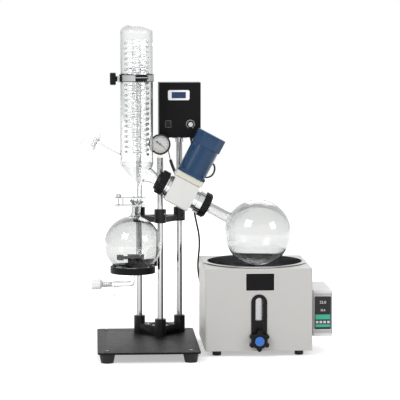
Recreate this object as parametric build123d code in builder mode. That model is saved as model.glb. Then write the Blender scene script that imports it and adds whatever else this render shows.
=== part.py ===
from build123d import *
import os
from math import atan2, cos, degrees, radians, sin, sqrt, tan

# Rotary evaporator. Millimetres, +Z up, +X to the bath's side, +Y away from the viewer.
# The origin lies on the bench, in the middle of the box round stand, bath and glassware.

# Clearances that every fit below is made from
seat = 0.3
run = 0.05

# Glass axis: the flask's centre, and the tilt of the turning axis above level
glass_y = 42.5
tilt = 28
flask_x = 181
flask_z = 387

# Base plate, its cone feet and the screws in them
plate_x = 330
plate_y = 480
plate_thick = 6
plate_centre_x = -189.6
plate_corner = 14
foot_height = 30
foot_bottom_radius = 20
foot_top_radius = 26
foot_inset = 31
foot_screw_radius = 3
foot_screw_depth = 13

# Columns: one in front for the gauge, two behind for the glassware and the control box
column_radius = 10
front_column = (-142, 95)
left_column = (-210, 177.5)
right_column = (-74, 177.5)
front_column_top = 635
left_column_top = 896
right_column_top = 730

# Brackets that tie the three columns together
foot_collar_radius = 19
foot_collar_height = 55
foot_bar_width = 24
foot_bar_height = 30
tie_collar_radius = 20
tie_collar_bottom = 416
tie_collar_height = 46
tie_bar_width = 14
tie_bar_height = 20
bolt_radius = 4
bolt_head_radius = 8
bolt_head_height = 5
set_screw_radius = 3

# Vacuum gauge on the front column
gauge_z = 680
gauge_depth = 30
gauge_can_radius = 31
gauge_bezel_radius = 34
gauge_bezel_depth = 6
gauge_window_radius = 29
gauge_pointer_length = 19.7
gauge_pointer_tail = 16
gauge_rest_angle = -39.6
fitting_height = 9
fitting_across_flats = 16.5
fitting_stem_radius = 5

# Control box on the right rear column
box_x = 140
box_y = 100
box_z = 184
box_bottom = 700
box_wall = 2
box_corner = 3
display_x = 72.3
display_z = 33.8
display_thick = 3
display_window_x = 44.2
display_window_z = 19.4
display_centre = (-78, 842)
rocker_centre = (-113.7, 745.2)
rocker_length = 18.4
rocker_width = 14
rocker_pivot_depth = 4
rocker_pivot_radius = 3.6
rocker_rest_angle = -8
knob_centre = (-38.8, 744.5)
knob_radius = 8.5
knob_length = 14
knob_shaft_radius = 3
box_flange_radius = 25
box_flange_thick = 4
box_collar_radius = 13.5
box_collar_bottom = 683

# Driving head: a tilted housing with the turning spindle inside it
head_start = 245
head_end = 332
head_half_height = 45.75
head_half_width = 46
head_corner = 7
bearing_radius = 31
bearing_width = 12
spindle_radius = 20
spindle_bore = 15
cavity_radius = 39
gear_apex = 288.5
head_clamp_radius = 22
head_clamp_bottom = 492
head_clamp_height = 60
head_arm_width = 50
head_arm_height = 40

# Bevel gears inside the head
gear_module = 2
wheel_teeth = 30
pinion_teeth = 12
gear_face = 9
gear_backlash = 0.6
gear_shoulder = 0.25
pinion_shaft_radius = 5

# Motor on top of the head
adapter_thick = 19
adapter_length = 98
adapter_width = 92
motor_flange = 98
motor_flange_thick = 9.7
motor_radius = 48
motor_top = 170
motor_cap_top = 217
motor_corner_cut = 24
motor_flange_cut = 12

# Rotating flask, its nut and the rings on the spindle's nose
flask_radius = 111.5
glass_wall = 3
flask_neck_radius = 20
flask_neck_blend = 12
glass_flange_radius = 27
glass_flange_thick = 3.4
flask_neck_end = 195.7
flask_nut_radius = 43
flask_nut_start = 187
flask_nut_end = 212
nose_radius = 29
nose_start = 196
large_ring_radius = 38
small_ring_radius = 33
duct_radius = 14
duct_wall = 2.5
duct_end = 363.3

# Seal flange and nut on the condenser's side of the head
seal_flange_radius = 36
seal_flange_end = 347
seal_nose_radius = 29.5
vapour_nut_radius = 41
vapour_nut_end = 372
vapour_cone_radius = 34
vapour_cone_length = 8

# Condenser
condenser_x = -221
condenser_radius = 53.75
condenser_top = 1078
condenser_dome = 30
condenser_vent_drop = 35
condenser_seam = 619
condenser_cone_bottom = 545
condenser_neck_radius = 14
joint_z = 500
joint_ball_radius = 19
joint_flange_radius = 21
joint_flange_thick = 4.7
vapour_arm_radius = 19
vapour_arm_flare = 32
vapour_arm_reach = 430
feed_arm_radius = 11
feed_valve = (-357.2, 690.7)
feed_port_z = 639
valve_radius = 10.5
valve_bore = 6.6
hose_radius = 4
coil_radius = 37
coil_pitch = 17
coil_tube_radius = 5.5
coil_bottom = 650
coil_headroom = 24

# Clamps for the glassware
condenser_clamp_drop = 176
condenser_clamp_height = 20
condenser_clamp_radius = 57.5
clamp_boss_radius = 18
clamp_knob_radius = 20.5
joint_plate_length = 102
joint_plate_width = 40
joint_plate_thick = 3
joint_screw_radius = 3

# Receiving flask and its drain
receiver_tilt = 5.5
receiver_drop = 150.7
receiver_radius = 95
receiver_neck_radius = 15
receiver_neck_blend = 14
drain_z = 218
drain_tube_radius = 9.5
drain_elbow_radius = 22
drain_barrel_radius = 9.9
drain_barrel_bore = 7.2
drain_barrel_start = -279
drain_barrel_end = -336
drain_nozzle_x = -300.3
drain_knob_radius = 18
drain_knob_end = -373.6

# Support ring under the receiving flask
ring_bottom = 256
ring_radius = 75
ring_band_height = 21.5
ring_band_thick = 7
ring_lip = 62.2
ring_boss_radius = 18
ring_knob_radius = 10.5

# Heating bath
bath_x = 350
bath_y = 350
bath_height = 270
bath_centre_x = 170.4
bath_wall = 2
bath_corner = 8
bath_foot_height = 19
bath_foot_radius = 14.5
bath_foot_inset = 40
jacket_margin = 13
jacket_wall = 4
rim_overhang = 10
heater_ring = 60
basin_floor = 115
gasket_thick = 1.7
slot_outer = 52
slot_inner = 23.7
slot_bottom = 43
slot_top = 193.4
slot_border = 11.3
trim_thick = 3
lift_plate_x = 70
lift_plate_z = 87
lift_plate_thick = 5
lift_stud_radius = 5
lift_knob_radius = 35.5
lift_knob_z = 54.5
lift_knob_lobes = 6
lift_cap_radius = 16

# Controller on the bath's right side
controller_x = 64
controller_y = 210
controller_z = 151
controller_bottom = 60
controller_rail = 5.3
controller_corner = 5
panel_x = 54
panel_z = 108
panel_thick = 2
panel_window_x = 36
panel_window_z = 18
key_width = 9
key_height = 8
key_pitch = 12.5
key_travel = 0.8
key_z = 106.7

# Mains cord, and the lead between the control box and the head
cord_radius = 3.5
mains_coil_radius = 45.5
mains_coil_inner = 31.5
mains_coil_height = 14
lead_radius = 1.5
sleeve_radius = 5
loop_radius = 3

os.makedirs("parts", exist_ok=True)


def keep(piece, label):
    """Give the piece its name and write it."""
    piece.part.label = label
    export_step(piece.part, f"parts/{label}.step")


def turned(station, *corners, mode=Mode.ADD):
    """A closed outline in the station's plane, turned about the station's own Y axis."""
    with BuildSketch(station) as outline:
        with BuildLine():
            Polyline(*corners, close=True)
        make_face()
    revolve(outline.sketch, axis=Axis(station.origin, station.y_dir), mode=mode)


def upright(x, y, z):
    """A front view plane: local X to the right, local Y up, extruding towards the viewer."""
    return Plane(origin=(x, y, z), x_dir=(1, 0, 0), z_dir=(0, -1, 0))


def facing(x, y, z):
    """A plan view plane: local X to the right, local Y towards the viewer."""
    return Plane(origin=(x, y, z), x_dir=(1, 0, 0), z_dir=(0, 0, -1))


def across(x, y, z):
    """A plane with local X up and local Y to the right, for what turns about a level X axis."""
    return Plane(origin=(x, y, z), x_dir=(0, 0, 1), z_dir=(0, 1, 0))


axis_u = Vector(-cos(radians(tilt)), 0, sin(radians(tilt)))
axis_t = Vector(sin(radians(tilt)), 0, cos(radians(tilt)))
flask_centre = Vector(flask_x, glass_y, flask_z)
head_frame = Plane(origin=flask_centre, x_dir=axis_t, z_dir=axis_u)
head_profile = Plane(origin=flask_centre, x_dir=axis_t, z_dir=(0, -1, 0))
apex = flask_centre + axis_u * gear_apex
motor_frame = Plane(origin=apex, x_dir=-axis_u, z_dir=axis_t)
motor_profile = Plane(origin=apex, x_dir=-axis_u, z_dir=(0, -1, 0))

plate_bottom = foot_height
plate_top = foot_height + plate_thick
columns_xy = [front_column, left_column, right_column]

# Base plate: a steel plate on four cone feet, with holes for their screws and for the bracket
foot_places = (plate_x - 2 * foot_inset, plate_y - 2 * foot_inset)
sides = [(Vector(*columns_xy[i]), Vector(*columns_xy[i - 1])) for i in range(3)]
bolt_places = [(a + b) * 0.5 for a, b in sides]
with BuildPart() as base_plate:
    with BuildSketch(Plane.XY.offset(plate_bottom)):
        with Locations((plate_centre_x, 0)):
            RectangleRounded(plate_x, plate_y, plate_corner)
            with GridLocations(*foot_places, 2, 2):
                Circle(foot_screw_radius + seat, mode=Mode.SUBTRACT)
        with Locations(*[(b.X, b.Y) for b in bolt_places]):
            Circle(bolt_radius + seat, mode=Mode.SUBTRACT)
    extrude(amount=plate_thick)
    chamfer(base_plate.faces().sort_by(Axis.Z)[-1].outer_wire().edges(), length=0.8)
keep(base_plate, "base_plate")

with BuildPart() as base_feet:
    with Locations((plate_centre_x, 0, 0)):
        with GridLocations(*foot_places, 2, 2):
            with Locations((0, 0, foot_height / 2)):
                Cone(foot_bottom_radius, foot_top_radius, foot_height)
            with Locations((0, 0, foot_height - foot_screw_depth / 2)):
                Cylinder(foot_screw_radius + run, foot_screw_depth, mode=Mode.SUBTRACT)
keep(base_feet, "base_feet")


def column_tie(collar_radius, bottom, collar_height, bar_width, bar_height):
    """Three collars bored for the columns, and the triangle of bars between them."""
    with BuildSketch(Plane.XY.offset(bottom)) as bars:
        for a, b in sides:
            middle = (a + b) * 0.5
            with Locations(Location((middle.X, middle.Y), degrees(atan2(b.Y - a.Y, b.X - a.X)))):
                Rectangle((b - a).length, bar_width)
    extrude(bars.sketch, amount=bar_height)
    with Locations(*[(x, y, bottom + collar_height / 2) for x, y in columns_xy]):
        Cylinder(collar_radius, collar_height)
        Cylinder(column_radius + run, collar_height, mode=Mode.SUBTRACT)


with BuildPart() as base_bracket:
    column_tie(foot_collar_radius, plate_top, foot_collar_height, foot_bar_width, foot_bar_height)
    with Locations(*[(b.X, b.Y, plate_top + foot_bar_height / 2) for b in bolt_places]):
        Cylinder(bolt_radius + seat, foot_bar_height, mode=Mode.SUBTRACT)
keep(base_bracket, "base_bracket")

# Set screws stand at the front collar's right and at the outer sides of the rear collars
tie_middle = tie_collar_bottom + tie_bar_height
screw_angles = [-45, 180, 0]
screw_stations = [
    Plane(
        origin=(x, y, tie_middle + 12),
        x_dir=(0, 0, 1),
        z_dir=(cos(radians(angle)), sin(radians(angle)), 0),
    )
    for (x, y), angle in zip(columns_xy, screw_angles)
]
with BuildPart() as mid_bracket:
    column_tie(tie_collar_radius, tie_collar_bottom, tie_collar_height, tie_bar_width, tie_bar_height)
    for station in screw_stations:
        with BuildSketch(station):
            Circle(set_screw_radius + run)
        extrude(amount=tie_collar_radius + 2, mode=Mode.SUBTRACT)
keep(mid_bracket, "mid_bracket")

with BuildPart() as columns:
    for (x, y), top in zip(columns_xy, [front_column_top, left_column_top, right_column_top]):
        with BuildSketch(Plane(origin=(x, y, plate_top))):
            Circle(column_radius)
        extrude(amount=top - plate_top)
    chamfer(columns.edges().filter_by(GeomType.CIRCLE).group_by(Axis.Z)[-1], length=1)
    with Locations((*front_column, front_column_top - 6)):
        Cylinder(fitting_stem_radius + run, 12, mode=Mode.SUBTRACT)
keep(columns, "columns")

# Bolts and screws of the stand, each with a hexagon socket
with BuildPart() as stand_bolts:
    bolt_seat = plate_top + foot_bar_height
    for b in bolt_places:
        with BuildSketch(Plane(origin=(b.X, b.Y, bolt_seat))):
            Circle(bolt_head_radius)
        extrude(amount=bolt_head_height)
        with BuildSketch(Plane(origin=(b.X, b.Y, bolt_seat))):
            Circle(bolt_radius)
        extrude(amount=-(foot_bar_height + plate_thick))
        with BuildSketch(Plane(origin=(b.X, b.Y, bolt_seat + bolt_head_height))):
            RegularPolygon(4, 6)
        extrude(amount=-3, mode=Mode.SUBTRACT)
    with Locations((plate_centre_x, 0, 0)):
        with GridLocations(*foot_places, 2, 2):
            with Locations((0, 0, plate_top + 1.5)):
                Cylinder(2 * foot_screw_radius, 3)
            with Locations((0, 0, plate_top - (plate_thick + foot_screw_depth - 1) / 2)):
                Cylinder(foot_screw_radius, plate_thick + foot_screw_depth - 1)
    for station in screw_stations:
        with BuildSketch(station.offset(column_radius + run)):
            Circle(set_screw_radius)
        extrude(amount=tie_collar_radius - column_radius)
keep(stand_bolts, "stand_bolts")

# Vacuum gauge: a hexagon fitting, a can with its bezel, a pointer on a pin and a lens
front_x, front_y = front_column
gauge_back = front_y + gauge_depth / 2
gauge_plane = facing(front_x, gauge_back, gauge_z)
fitting_top = front_column_top + fitting_height
with BuildPart() as gauge_fitting:
    with BuildSketch(Plane(origin=(front_x, front_y, front_column_top))):
        RegularPolygon(fitting_across_flats / 2, 6, major_radius=False)
    extrude(amount=fitting_height)
    with BuildSketch(Plane(origin=(front_x, front_y, front_column_top))):
        Circle(fitting_stem_radius)
    extrude(amount=-11)
keep(gauge_fitting, "gauge_fitting")

dial_depth = 20
bezel_back = gauge_depth - gauge_bezel_depth
lens_thick = 2
pin_radius = 1.2
with BuildPart() as gauge_case:
    with Locations((front_x, front_y, (fitting_top + seat + gauge_z) / 2)):
        Cylinder(7, gauge_z - fitting_top - seat)
    turned(
        gauge_plane,
        (0, 0),
        (gauge_can_radius - 2, 0),
        (gauge_can_radius, 2),
        (gauge_can_radius, bezel_back),
        (gauge_bezel_radius, bezel_back),
        (gauge_bezel_radius, gauge_depth - 1),
        (gauge_bezel_radius - 1, gauge_depth),
        (0, gauge_depth),
    )
    turned(
        gauge_plane,
        (pin_radius, dial_depth),
        (gauge_window_radius - 0.5, dial_depth),
        (gauge_window_radius - 0.5, bezel_back + 2.5),
        (gauge_window_radius + 1.5, bezel_back + 2.5),
        (gauge_window_radius + 1.5, bezel_back + 2.5 + lens_thick + seat),
        (gauge_window_radius, bezel_back + 2.5 + lens_thick + seat),
        (gauge_window_radius, gauge_depth),
        (pin_radius, gauge_depth),
        mode=Mode.SUBTRACT,
    )
    turned(
        gauge_plane,
        (0, dial_depth + 3.5),
        (pin_radius + 0.5, dial_depth + 3.5),
        (pin_radius + 0.5, gauge_depth),
        (0, gauge_depth),
        mode=Mode.SUBTRACT,
    )
keep(gauge_case, "gauge_case")

pointer_plane = upright(front_x, gauge_back - dial_depth - 1, gauge_z)
with BuildPart() as gauge_pointer:
    with BuildSketch(pointer_plane):
        Circle(3)
        with BuildLine(Plane.XY.rotated((0, 0, gauge_rest_angle))):
            Polyline(
                (-gauge_pointer_tail, -1.6),
                (0, -1.2),
                (gauge_pointer_length, -0.3),
                (gauge_pointer_length, 0.3),
                (0, 1.2),
                (-gauge_pointer_tail, 1.6),
                close=True,
            )
        make_face()
        Circle(pin_radius + run, mode=Mode.SUBTRACT)
    extrude(amount=1.5)
keep(gauge_pointer, "gauge_pointer")

with BuildPart() as gauge_lens:
    with BuildSketch(upright(front_x, gauge_back - bezel_back - 2.5 - seat / 2, gauge_z)):
        Circle(gauge_window_radius + 1.5 - seat)
    extrude(amount=lens_thick)
keep(gauge_lens, "gauge_lens")

# Control box: a folded steel box with openings for the display, the switch and the knob
box_x_centre, box_y_centre = right_column
box_front = box_y_centre - box_y / 2 - 2.5
box_centre_y = box_front + box_y / 2
mains_gland = (-31, 200)
lead_gland = (-117, 150)
gland_radius = 8
with BuildPart() as control_box:
    with BuildSketch(Plane(origin=(box_x_centre, box_centre_y, box_bottom))):
        RectangleRounded(box_x, box_y, box_corner)
    extrude(amount=box_z)
    with BuildSketch(Plane(origin=(box_x_centre, box_centre_y, box_bottom + box_wall))):
        Rectangle(box_x - 2 * box_wall, box_y - 2 * box_wall)
    extrude(amount=box_z - 2 * box_wall, mode=Mode.SUBTRACT)
    with BuildSketch(Plane(origin=(0, 0, box_bottom))):
        with Locations(right_column):
            Circle(column_radius + seat)
        with Locations(mains_gland, lead_gland):
            Circle(gland_radius / 2)
    extrude(amount=box_wall, mode=Mode.SUBTRACT)
    with BuildSketch(upright(0, box_front + box_wall, 0)):
        with Locations(display_centre):
            Rectangle(display_window_x - 4, display_window_z - 4)
        with Locations(rocker_centre):
            Rectangle(rocker_width + 1, rocker_length + 2.2)
        with Locations(knob_centre):
            Circle(knob_shaft_radius + run)
    extrude(amount=box_wall, mode=Mode.SUBTRACT)
    with BuildSketch(upright(0, box_front, 0)):
        with Locations(rocker_centre):
            Rectangle(rocker_width + 6, rocker_length + 6.2)
            Rectangle(rocker_width + 1, rocker_length + 2.2, mode=Mode.SUBTRACT)
    extrude(amount=1.5)
keep(control_box, "control_box")

with BuildPart() as display_bezel:
    with BuildSketch(upright(0, box_front, 0)):
        with Locations(display_centre):
            RectangleRounded(display_x, display_z, 1.5)
    extrude(amount=display_thick)
    chamfer(display_bezel.faces().sort_by(Axis.Y)[0].outer_wire().edges(), length=0.6)
    with BuildSketch(upright(0, box_front - display_thick, 0)):
        with Locations(display_centre):
            Rectangle(display_window_x, display_window_z)
    extrude(amount=-1.5, mode=Mode.SUBTRACT)
keep(display_bezel, "display_bezel")

rocker_plane = Plane(
    origin=(rocker_centre[0] - rocker_width / 2, box_front + rocker_pivot_depth, rocker_centre[1]),
    x_dir=(0, -sin(radians(rocker_rest_angle)), cos(radians(rocker_rest_angle))),
    z_dir=(1, 0, 0),
)
with BuildPart() as power_rocker:
    with BuildSketch(rocker_plane):
        with BuildLine():
            Polyline(
                (-rocker_length / 2, -3),
                (-rocker_length / 2, 5.5),
                (0, 4.3),
                (rocker_length / 2, 5.5),
                (rocker_length / 2, -3),
                close=True,
            )
        make_face()
        Circle(rocker_pivot_radius)
    extrude(amount=rocker_width)
keep(power_rocker, "power_rocker")

with BuildPart() as speed_knob:
    with BuildSketch(upright(knob_centre[0], box_front - seat, knob_centre[1])):
        Circle(knob_radius)
    extrude(amount=knob_length, taper=3)
    with BuildSketch(upright(knob_centre[0], box_front - seat, knob_centre[1])):
        with PolarLocations(knob_radius + 0.4, 12):
            Circle(1.2)
    extrude(amount=knob_length * 0.8, mode=Mode.SUBTRACT)
    with BuildSketch(upright(knob_centre[0], box_front - seat, knob_centre[1])):
        Circle(knob_shaft_radius)
    extrude(amount=-8)
keep(speed_knob, "speed_knob")

with BuildPart() as box_collar:
    turned(
        upright(*right_column, 0),
        (column_radius + run, box_bottom - seat),
        (box_flange_radius, box_bottom - seat),
        (box_flange_radius, box_bottom - seat - box_flange_thick),
        (box_collar_radius, box_bottom - seat - box_flange_thick),
        (box_collar_radius, box_collar_bottom),
        (column_radius + run, box_collar_bottom),
    )
keep(box_collar, "box_collar")

with BuildPart() as cable_glands:
    for (x, y), bore, length in [(mains_gland, cord_radius, 16), (lead_gland, lead_radius, 10)]:
        turned(
            upright(x, y, box_bottom),
            (bore, 0),
            (gland_radius, 0),
            (gland_radius, -4),
            (gland_radius - 1.5, -5),
            (bore + 1, -length),
            (bore, -length),
        )
keep(cable_glands, "cable_glands")

# Driving head: a cast housing, bored for two bearings, the wheel's space and the pinion
bearing_lip = 2
lip_bore = spindle_radius + 1.5
cavity_start = head_start + bearing_lip + bearing_width + 2
cavity_end = head_end - bearing_lip - bearing_width - 2
pinion_bore = 16
spigot_bottom = cavity_radius + 0.5
with BuildPart() as head_housing:
    with BuildSketch(head_frame.offset(head_start)):
        RectangleRounded(2 * head_half_height, 2 * head_half_width, head_corner)
    extrude(amount=head_end - head_start)
    fillet(head_housing.faces().sort_by(Axis(flask_centre, axis_u))[-1].outer_wire().edges(), radius=3)
    turned(
        head_profile,
        (0, head_start - 1),
        (lip_bore, head_start - 1),
        (lip_bore, head_start + bearing_lip),
        (bearing_radius + run, head_start + bearing_lip),
        (bearing_radius + run, cavity_start - 2),
        (bearing_radius - 3, cavity_start - 2),
        (bearing_radius - 3, cavity_start),
        (cavity_radius, cavity_start),
        (cavity_radius, cavity_end),
        (bearing_radius - 3, cavity_end),
        (bearing_radius - 3, cavity_end + 2),
        (bearing_radius + run, cavity_end + 2),
        (bearing_radius + run, head_end - bearing_lip),
        (lip_bore, head_end - bearing_lip),
        (lip_bore, head_end + 1),
        (0, head_end + 1),
        mode=Mode.SUBTRACT,
    )
    with BuildSketch(motor_frame):
        Circle(pinion_bore)
    extrude(amount=head_half_height + 1, mode=Mode.SUBTRACT)
keep(head_housing, "head_housing")

arm_start = glass_y + head_half_width + seat
with BuildPart() as head_clamp:
    with BuildSketch(Plane(origin=(apex.X, arm_start, apex.Z), x_dir=(1, 0, 0), z_dir=(0, -1, 0))):
        RectangleRounded(head_arm_width, head_arm_height, 5)
    extrude(amount=-(right_column[1] - arm_start))
    with Locations((*right_column, head_clamp_bottom + head_clamp_height / 2)):
        Cylinder(head_clamp_radius, head_clamp_height)
        Cylinder(column_radius + run, head_clamp_height, mode=Mode.SUBTRACT)
keep(head_clamp, "head_clamp")

with BuildPart() as spindle_bearings:
    for start in (head_start + bearing_lip, cavity_end + 2):
        with BuildSketch(head_frame.offset(start)):
            Circle(bearing_radius)
            Circle(spindle_radius + run, mode=Mode.SUBTRACT)
        extrude(amount=bearing_width)
keep(spindle_bearings, "spindle_bearings")

# Spindle: a hollow shaft whose nose carries the flask, with two slotted rings behind it
large_ring_start = flask_nut_end + seat
large_ring_end = 230
small_ring_start = 231
small_ring_end = head_start - 0.5
spindle_end = head_end + 1
ring_slots = 8
with BuildPart() as spindle:
    turned(
        head_profile,
        (spindle_bore, nose_start),
        (nose_radius, nose_start),
        (nose_radius, large_ring_start),
        (large_ring_radius, large_ring_start),
        (large_ring_radius, large_ring_end),
        (nose_radius - 2, large_ring_end),
        (nose_radius - 2, small_ring_start),
        (small_ring_radius, small_ring_start),
        (small_ring_radius, small_ring_end),
        (spindle_radius, small_ring_end),
        (spindle_radius, spindle_end),
        (spindle_bore, spindle_end),
    )
    for start, end, radius in [
        (large_ring_start, large_ring_end, large_ring_radius),
        (small_ring_start, small_ring_end, small_ring_radius),
    ]:
        with BuildSketch(head_frame.offset(start)):
            with PolarLocations(radius, ring_slots):
                Rectangle(8, 6)
        extrude(amount=end - start, mode=Mode.SUBTRACT)
keep(spindle, "spindle")

# Bevel pair: straight teeth whose flanks all run to the point where the two axes meet
addendum = gear_module
dedendum = 1.25 * gear_module
cone_distance = gear_module / 2 * sqrt(wheel_teeth**2 + pinion_teeth**2)
small_end = 1 - gear_face / cone_distance
half_tooth = 3.1416 * gear_module / 4 - gear_backlash / 2
tooth_outline = [
    (-half_tooth - 0.1, -dedendum - 0.5),
    (half_tooth + 0.1, -dedendum - 0.5),
    (half_tooth, 0),
    (half_tooth - addendum * tan(radians(22)), addendum),
    (-half_tooth + addendum * tan(radians(22)), addendum),
    (-half_tooth, 0),
]


def bevel_tooth(teeth, mate):
    """One tooth in the XZ plane, with the cone's point at the origin and its axis on Z."""
    pitch_line = Vector(teeth, 0, mate).normalized()
    with BuildPart(mode=Mode.PRIVATE) as tooth:
        for factor in (1, small_end):
            with BuildSketch(Plane(pitch_line * cone_distance * factor, (0, -1, 0), pitch_line)):
                with BuildLine():
                    Polyline(*[(x * factor, y * factor) for x, y in tooth_outline], close=True)
                make_face()
        loft()
    return tooth.part


def root_ends(teeth, mate):
    """Radius and height of the root cone, just beyond the teeth's large and small ends."""
    angle = atan2(teeth, mate)
    radius = cone_distance * sin(angle) - dedendum * cos(angle)
    height = cone_distance * cos(angle) + dedendum * sin(angle)
    shoulder = gear_shoulder / cone_distance
    return [(radius * f, height * f) for f in (1 + shoulder, small_end - shoulder)]


wheel_root, wheel_tip = root_ends(wheel_teeth, pinion_teeth)
wheel_back = wheel_root[1] + 5.7
with BuildPart(head_frame.offset(gear_apex)) as bevel_gear:
    turned(
        Plane(origin=apex, x_dir=axis_t, z_dir=(0, -1, 0)),
        (spindle_radius + run, wheel_tip[1]),
        wheel_tip,
        wheel_root,
        (wheel_root[0], wheel_root[1] + 2.7),
        (wheel_root[0] - 3, wheel_back),
        (spindle_radius + run, wheel_back),
    )
    with PolarLocations(0, wheel_teeth):
        add(bevel_tooth(wheel_teeth, pinion_teeth))
    with BuildSketch(head_frame.offset(gear_apex)):
        Circle(spindle_radius + run)
    extrude(amount=wheel_back + 1, mode=Mode.SUBTRACT)
keep(bevel_gear, "bevel_gear")

pinion_root, pinion_tip = root_ends(pinion_teeth, wheel_teeth)
pinion_hub_end = spigot_bottom - 1
motor_bottom = head_half_height + seat + adapter_thick + seat
pinion_shaft_end = motor_bottom + 22
with BuildPart(motor_frame) as drive_pinion:
    turned(
        motor_profile,
        (0, pinion_tip[1]),
        pinion_tip,
        pinion_root,
        (pinion_root[0], pinion_hub_end),
        (pinion_shaft_radius, pinion_hub_end),
        (pinion_shaft_radius, pinion_shaft_end),
        (0, pinion_shaft_end),
    )
    with PolarLocations(0, pinion_teeth, start_angle=180 / pinion_teeth):
        add(bevel_tooth(pinion_teeth, wheel_teeth))
keep(drive_pinion, "drive_pinion")

# Motor: adapter plate with its spigot, flanged body and cap
adapter_bottom = head_half_height + seat
with BuildPart() as motor_adapter:
    with BuildSketch(motor_frame.offset(adapter_bottom)):
        RectangleRounded(adapter_length, adapter_width, 3)
    extrude(amount=adapter_thick)
    with BuildSketch(motor_frame.offset(spigot_bottom)):
        Circle(pinion_bore - 2 * run)
    extrude(amount=adapter_bottom - spigot_bottom)
    with BuildSketch(motor_frame.offset(spigot_bottom)):
        Circle(pinion_shaft_radius + run)
    extrude(amount=adapter_bottom + adapter_thick - spigot_bottom, mode=Mode.SUBTRACT)
keep(motor_adapter, "motor_adapter")

with BuildPart() as motor_body:
    with BuildSketch(motor_frame.offset(motor_bottom)) as flange_outline:
        Rectangle(motor_flange, motor_flange)
        chamfer(flange_outline.vertices(), length=motor_flange_cut)
    extrude(amount=motor_flange_thick)
    with BuildSketch(motor_frame.offset(motor_bottom)):
        Circle(motor_radius)
    extrude(amount=motor_top - motor_bottom)
    with BuildSketch(motor_frame.offset(motor_bottom)):
        Circle(pinion_shaft_radius + seat)
    extrude(amount=pinion_shaft_end - motor_bottom + 1, mode=Mode.SUBTRACT)
keep(motor_body, "motor_body")

with BuildPart() as motor_cap:
    with BuildSketch(motor_frame.offset(motor_top)) as cap_outline:
        Rectangle(motor_flange, motor_flange)
        chamfer(cap_outline.vertices(), length=motor_corner_cut)
    extrude(amount=motor_cap_top - motor_top)
    chamfer(motor_cap.faces().sort_by(Axis(apex, axis_t))[-1].outer_wire().edges(), length=1.5)
keep(motor_cap, "motor_cap")

# Rotating flask: a blown round flask whose wall blends into its flanged neck


def blown_flask(profile, ball, neck, blend, wall, neck_top, *, flange=None, open_bottom=0):
    """Walls of a round flask in the profile's plane: the ball's centre is the plane's origin."""
    hub_x = neck + blend
    hub_y = sqrt((ball + blend) ** 2 - hub_x**2)
    hub_inner = ball - wall
    with BuildSketch(profile) as section:
        with BuildLine():
            share = ball / (ball + blend)
            outer_tangent = (hub_x * share, hub_y * share)
            inner_share = hub_inner / (ball + blend)
            inner_tangent = (hub_x * inner_share, hub_y * inner_share)
            bottom_outer = (open_bottom, -sqrt(ball**2 - open_bottom**2))
            bottom_inner = (open_bottom, -sqrt(hub_inner**2 - open_bottom**2))
            ThreePointArc(bottom_outer, (ball, 0), outer_tangent)
            meeting = degrees(atan2(outer_tangent[1] - hub_y, outer_tangent[0] - hub_x)) % 360
            middle = radians((180 + meeting) / 2)
            ThreePointArc(
                outer_tangent,
                (hub_x + blend * cos(middle), hub_y + blend * sin(middle)),
                (neck, hub_y),
            )
            if flange:
                flange_radius, flange_thick = flange
                Polyline(
                    (neck, hub_y),
                    (neck, neck_top - flange_thick),
                    (flange_radius, neck_top - flange_thick),
                    (flange_radius, neck_top),
                    (neck - wall, neck_top),
                    (neck - wall, hub_y),
                )
            else:
                Polyline((neck, hub_y), (neck, neck_top), (neck - wall, neck_top), (neck - wall, hub_y))
            ThreePointArc(
                (neck - wall, hub_y),
                (hub_x + (blend + wall) * cos(middle), hub_y + (blend + wall) * sin(middle)),
                inner_tangent,
            )
            ThreePointArc(inner_tangent, (hub_inner, 0), bottom_inner)
            Line(bottom_inner, bottom_outer)
        make_face()
    revolve(section.sketch, axis=Axis(profile.origin, profile.y_dir))


with BuildPart() as rotating_flask:
    blown_flask(
        head_profile,
        flask_radius,
        flask_neck_radius,
        flask_neck_blend,
        glass_wall,
        flask_neck_end,
        flange=(glass_flange_radius, glass_flange_thick),
    )
keep(rotating_flask, "rotating_flask")

with BuildPart() as vapour_duct:
    turned(
        head_profile,
        (duct_radius - duct_wall, nose_start - 16),
        (duct_radius, nose_start - 16),
        (duct_radius, duct_end - 3),
        (glass_flange_radius, duct_end - 3),
        (glass_flange_radius, duct_end),
        (duct_radius - duct_wall, duct_end),
    )
keep(vapour_duct, "vapour_duct")


def ribbed_rim(plane, radius, length, ribs, depth):
    """Flutes cut along a nut or a knob, from the plane along its normal."""
    with BuildSketch(plane) as flutes:
        with PolarLocations(radius + depth, ribs):
            Circle(2 * depth)
    extrude(flutes.sketch, amount=length, mode=Mode.SUBTRACT)


# Flask nut: its lip draws the flask's flange against the spindle's nose
nut_lip = nose_start - seat - glass_flange_thick - seat
with BuildPart() as flask_nut:
    turned(
        head_profile,
        (flask_neck_radius + 1.5, flask_nut_start),
        (flask_nut_radius - 6, flask_nut_start),
        (flask_nut_radius, flask_nut_start + 6),
        (flask_nut_radius, flask_nut_end - 2),
        (flask_nut_radius - 2, flask_nut_end),
        (nose_radius + seat, flask_nut_end),
        (nose_radius + seat, nut_lip),
        (flask_neck_radius + 1.5, nut_lip),
    )
    ribbed_length = flask_nut_end - flask_nut_start - 2
    ribbed_rim(head_frame.offset(flask_nut_start), flask_nut_radius, ribbed_length, 24, 1.6)
keep(flask_nut, "flask_nut")

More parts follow.
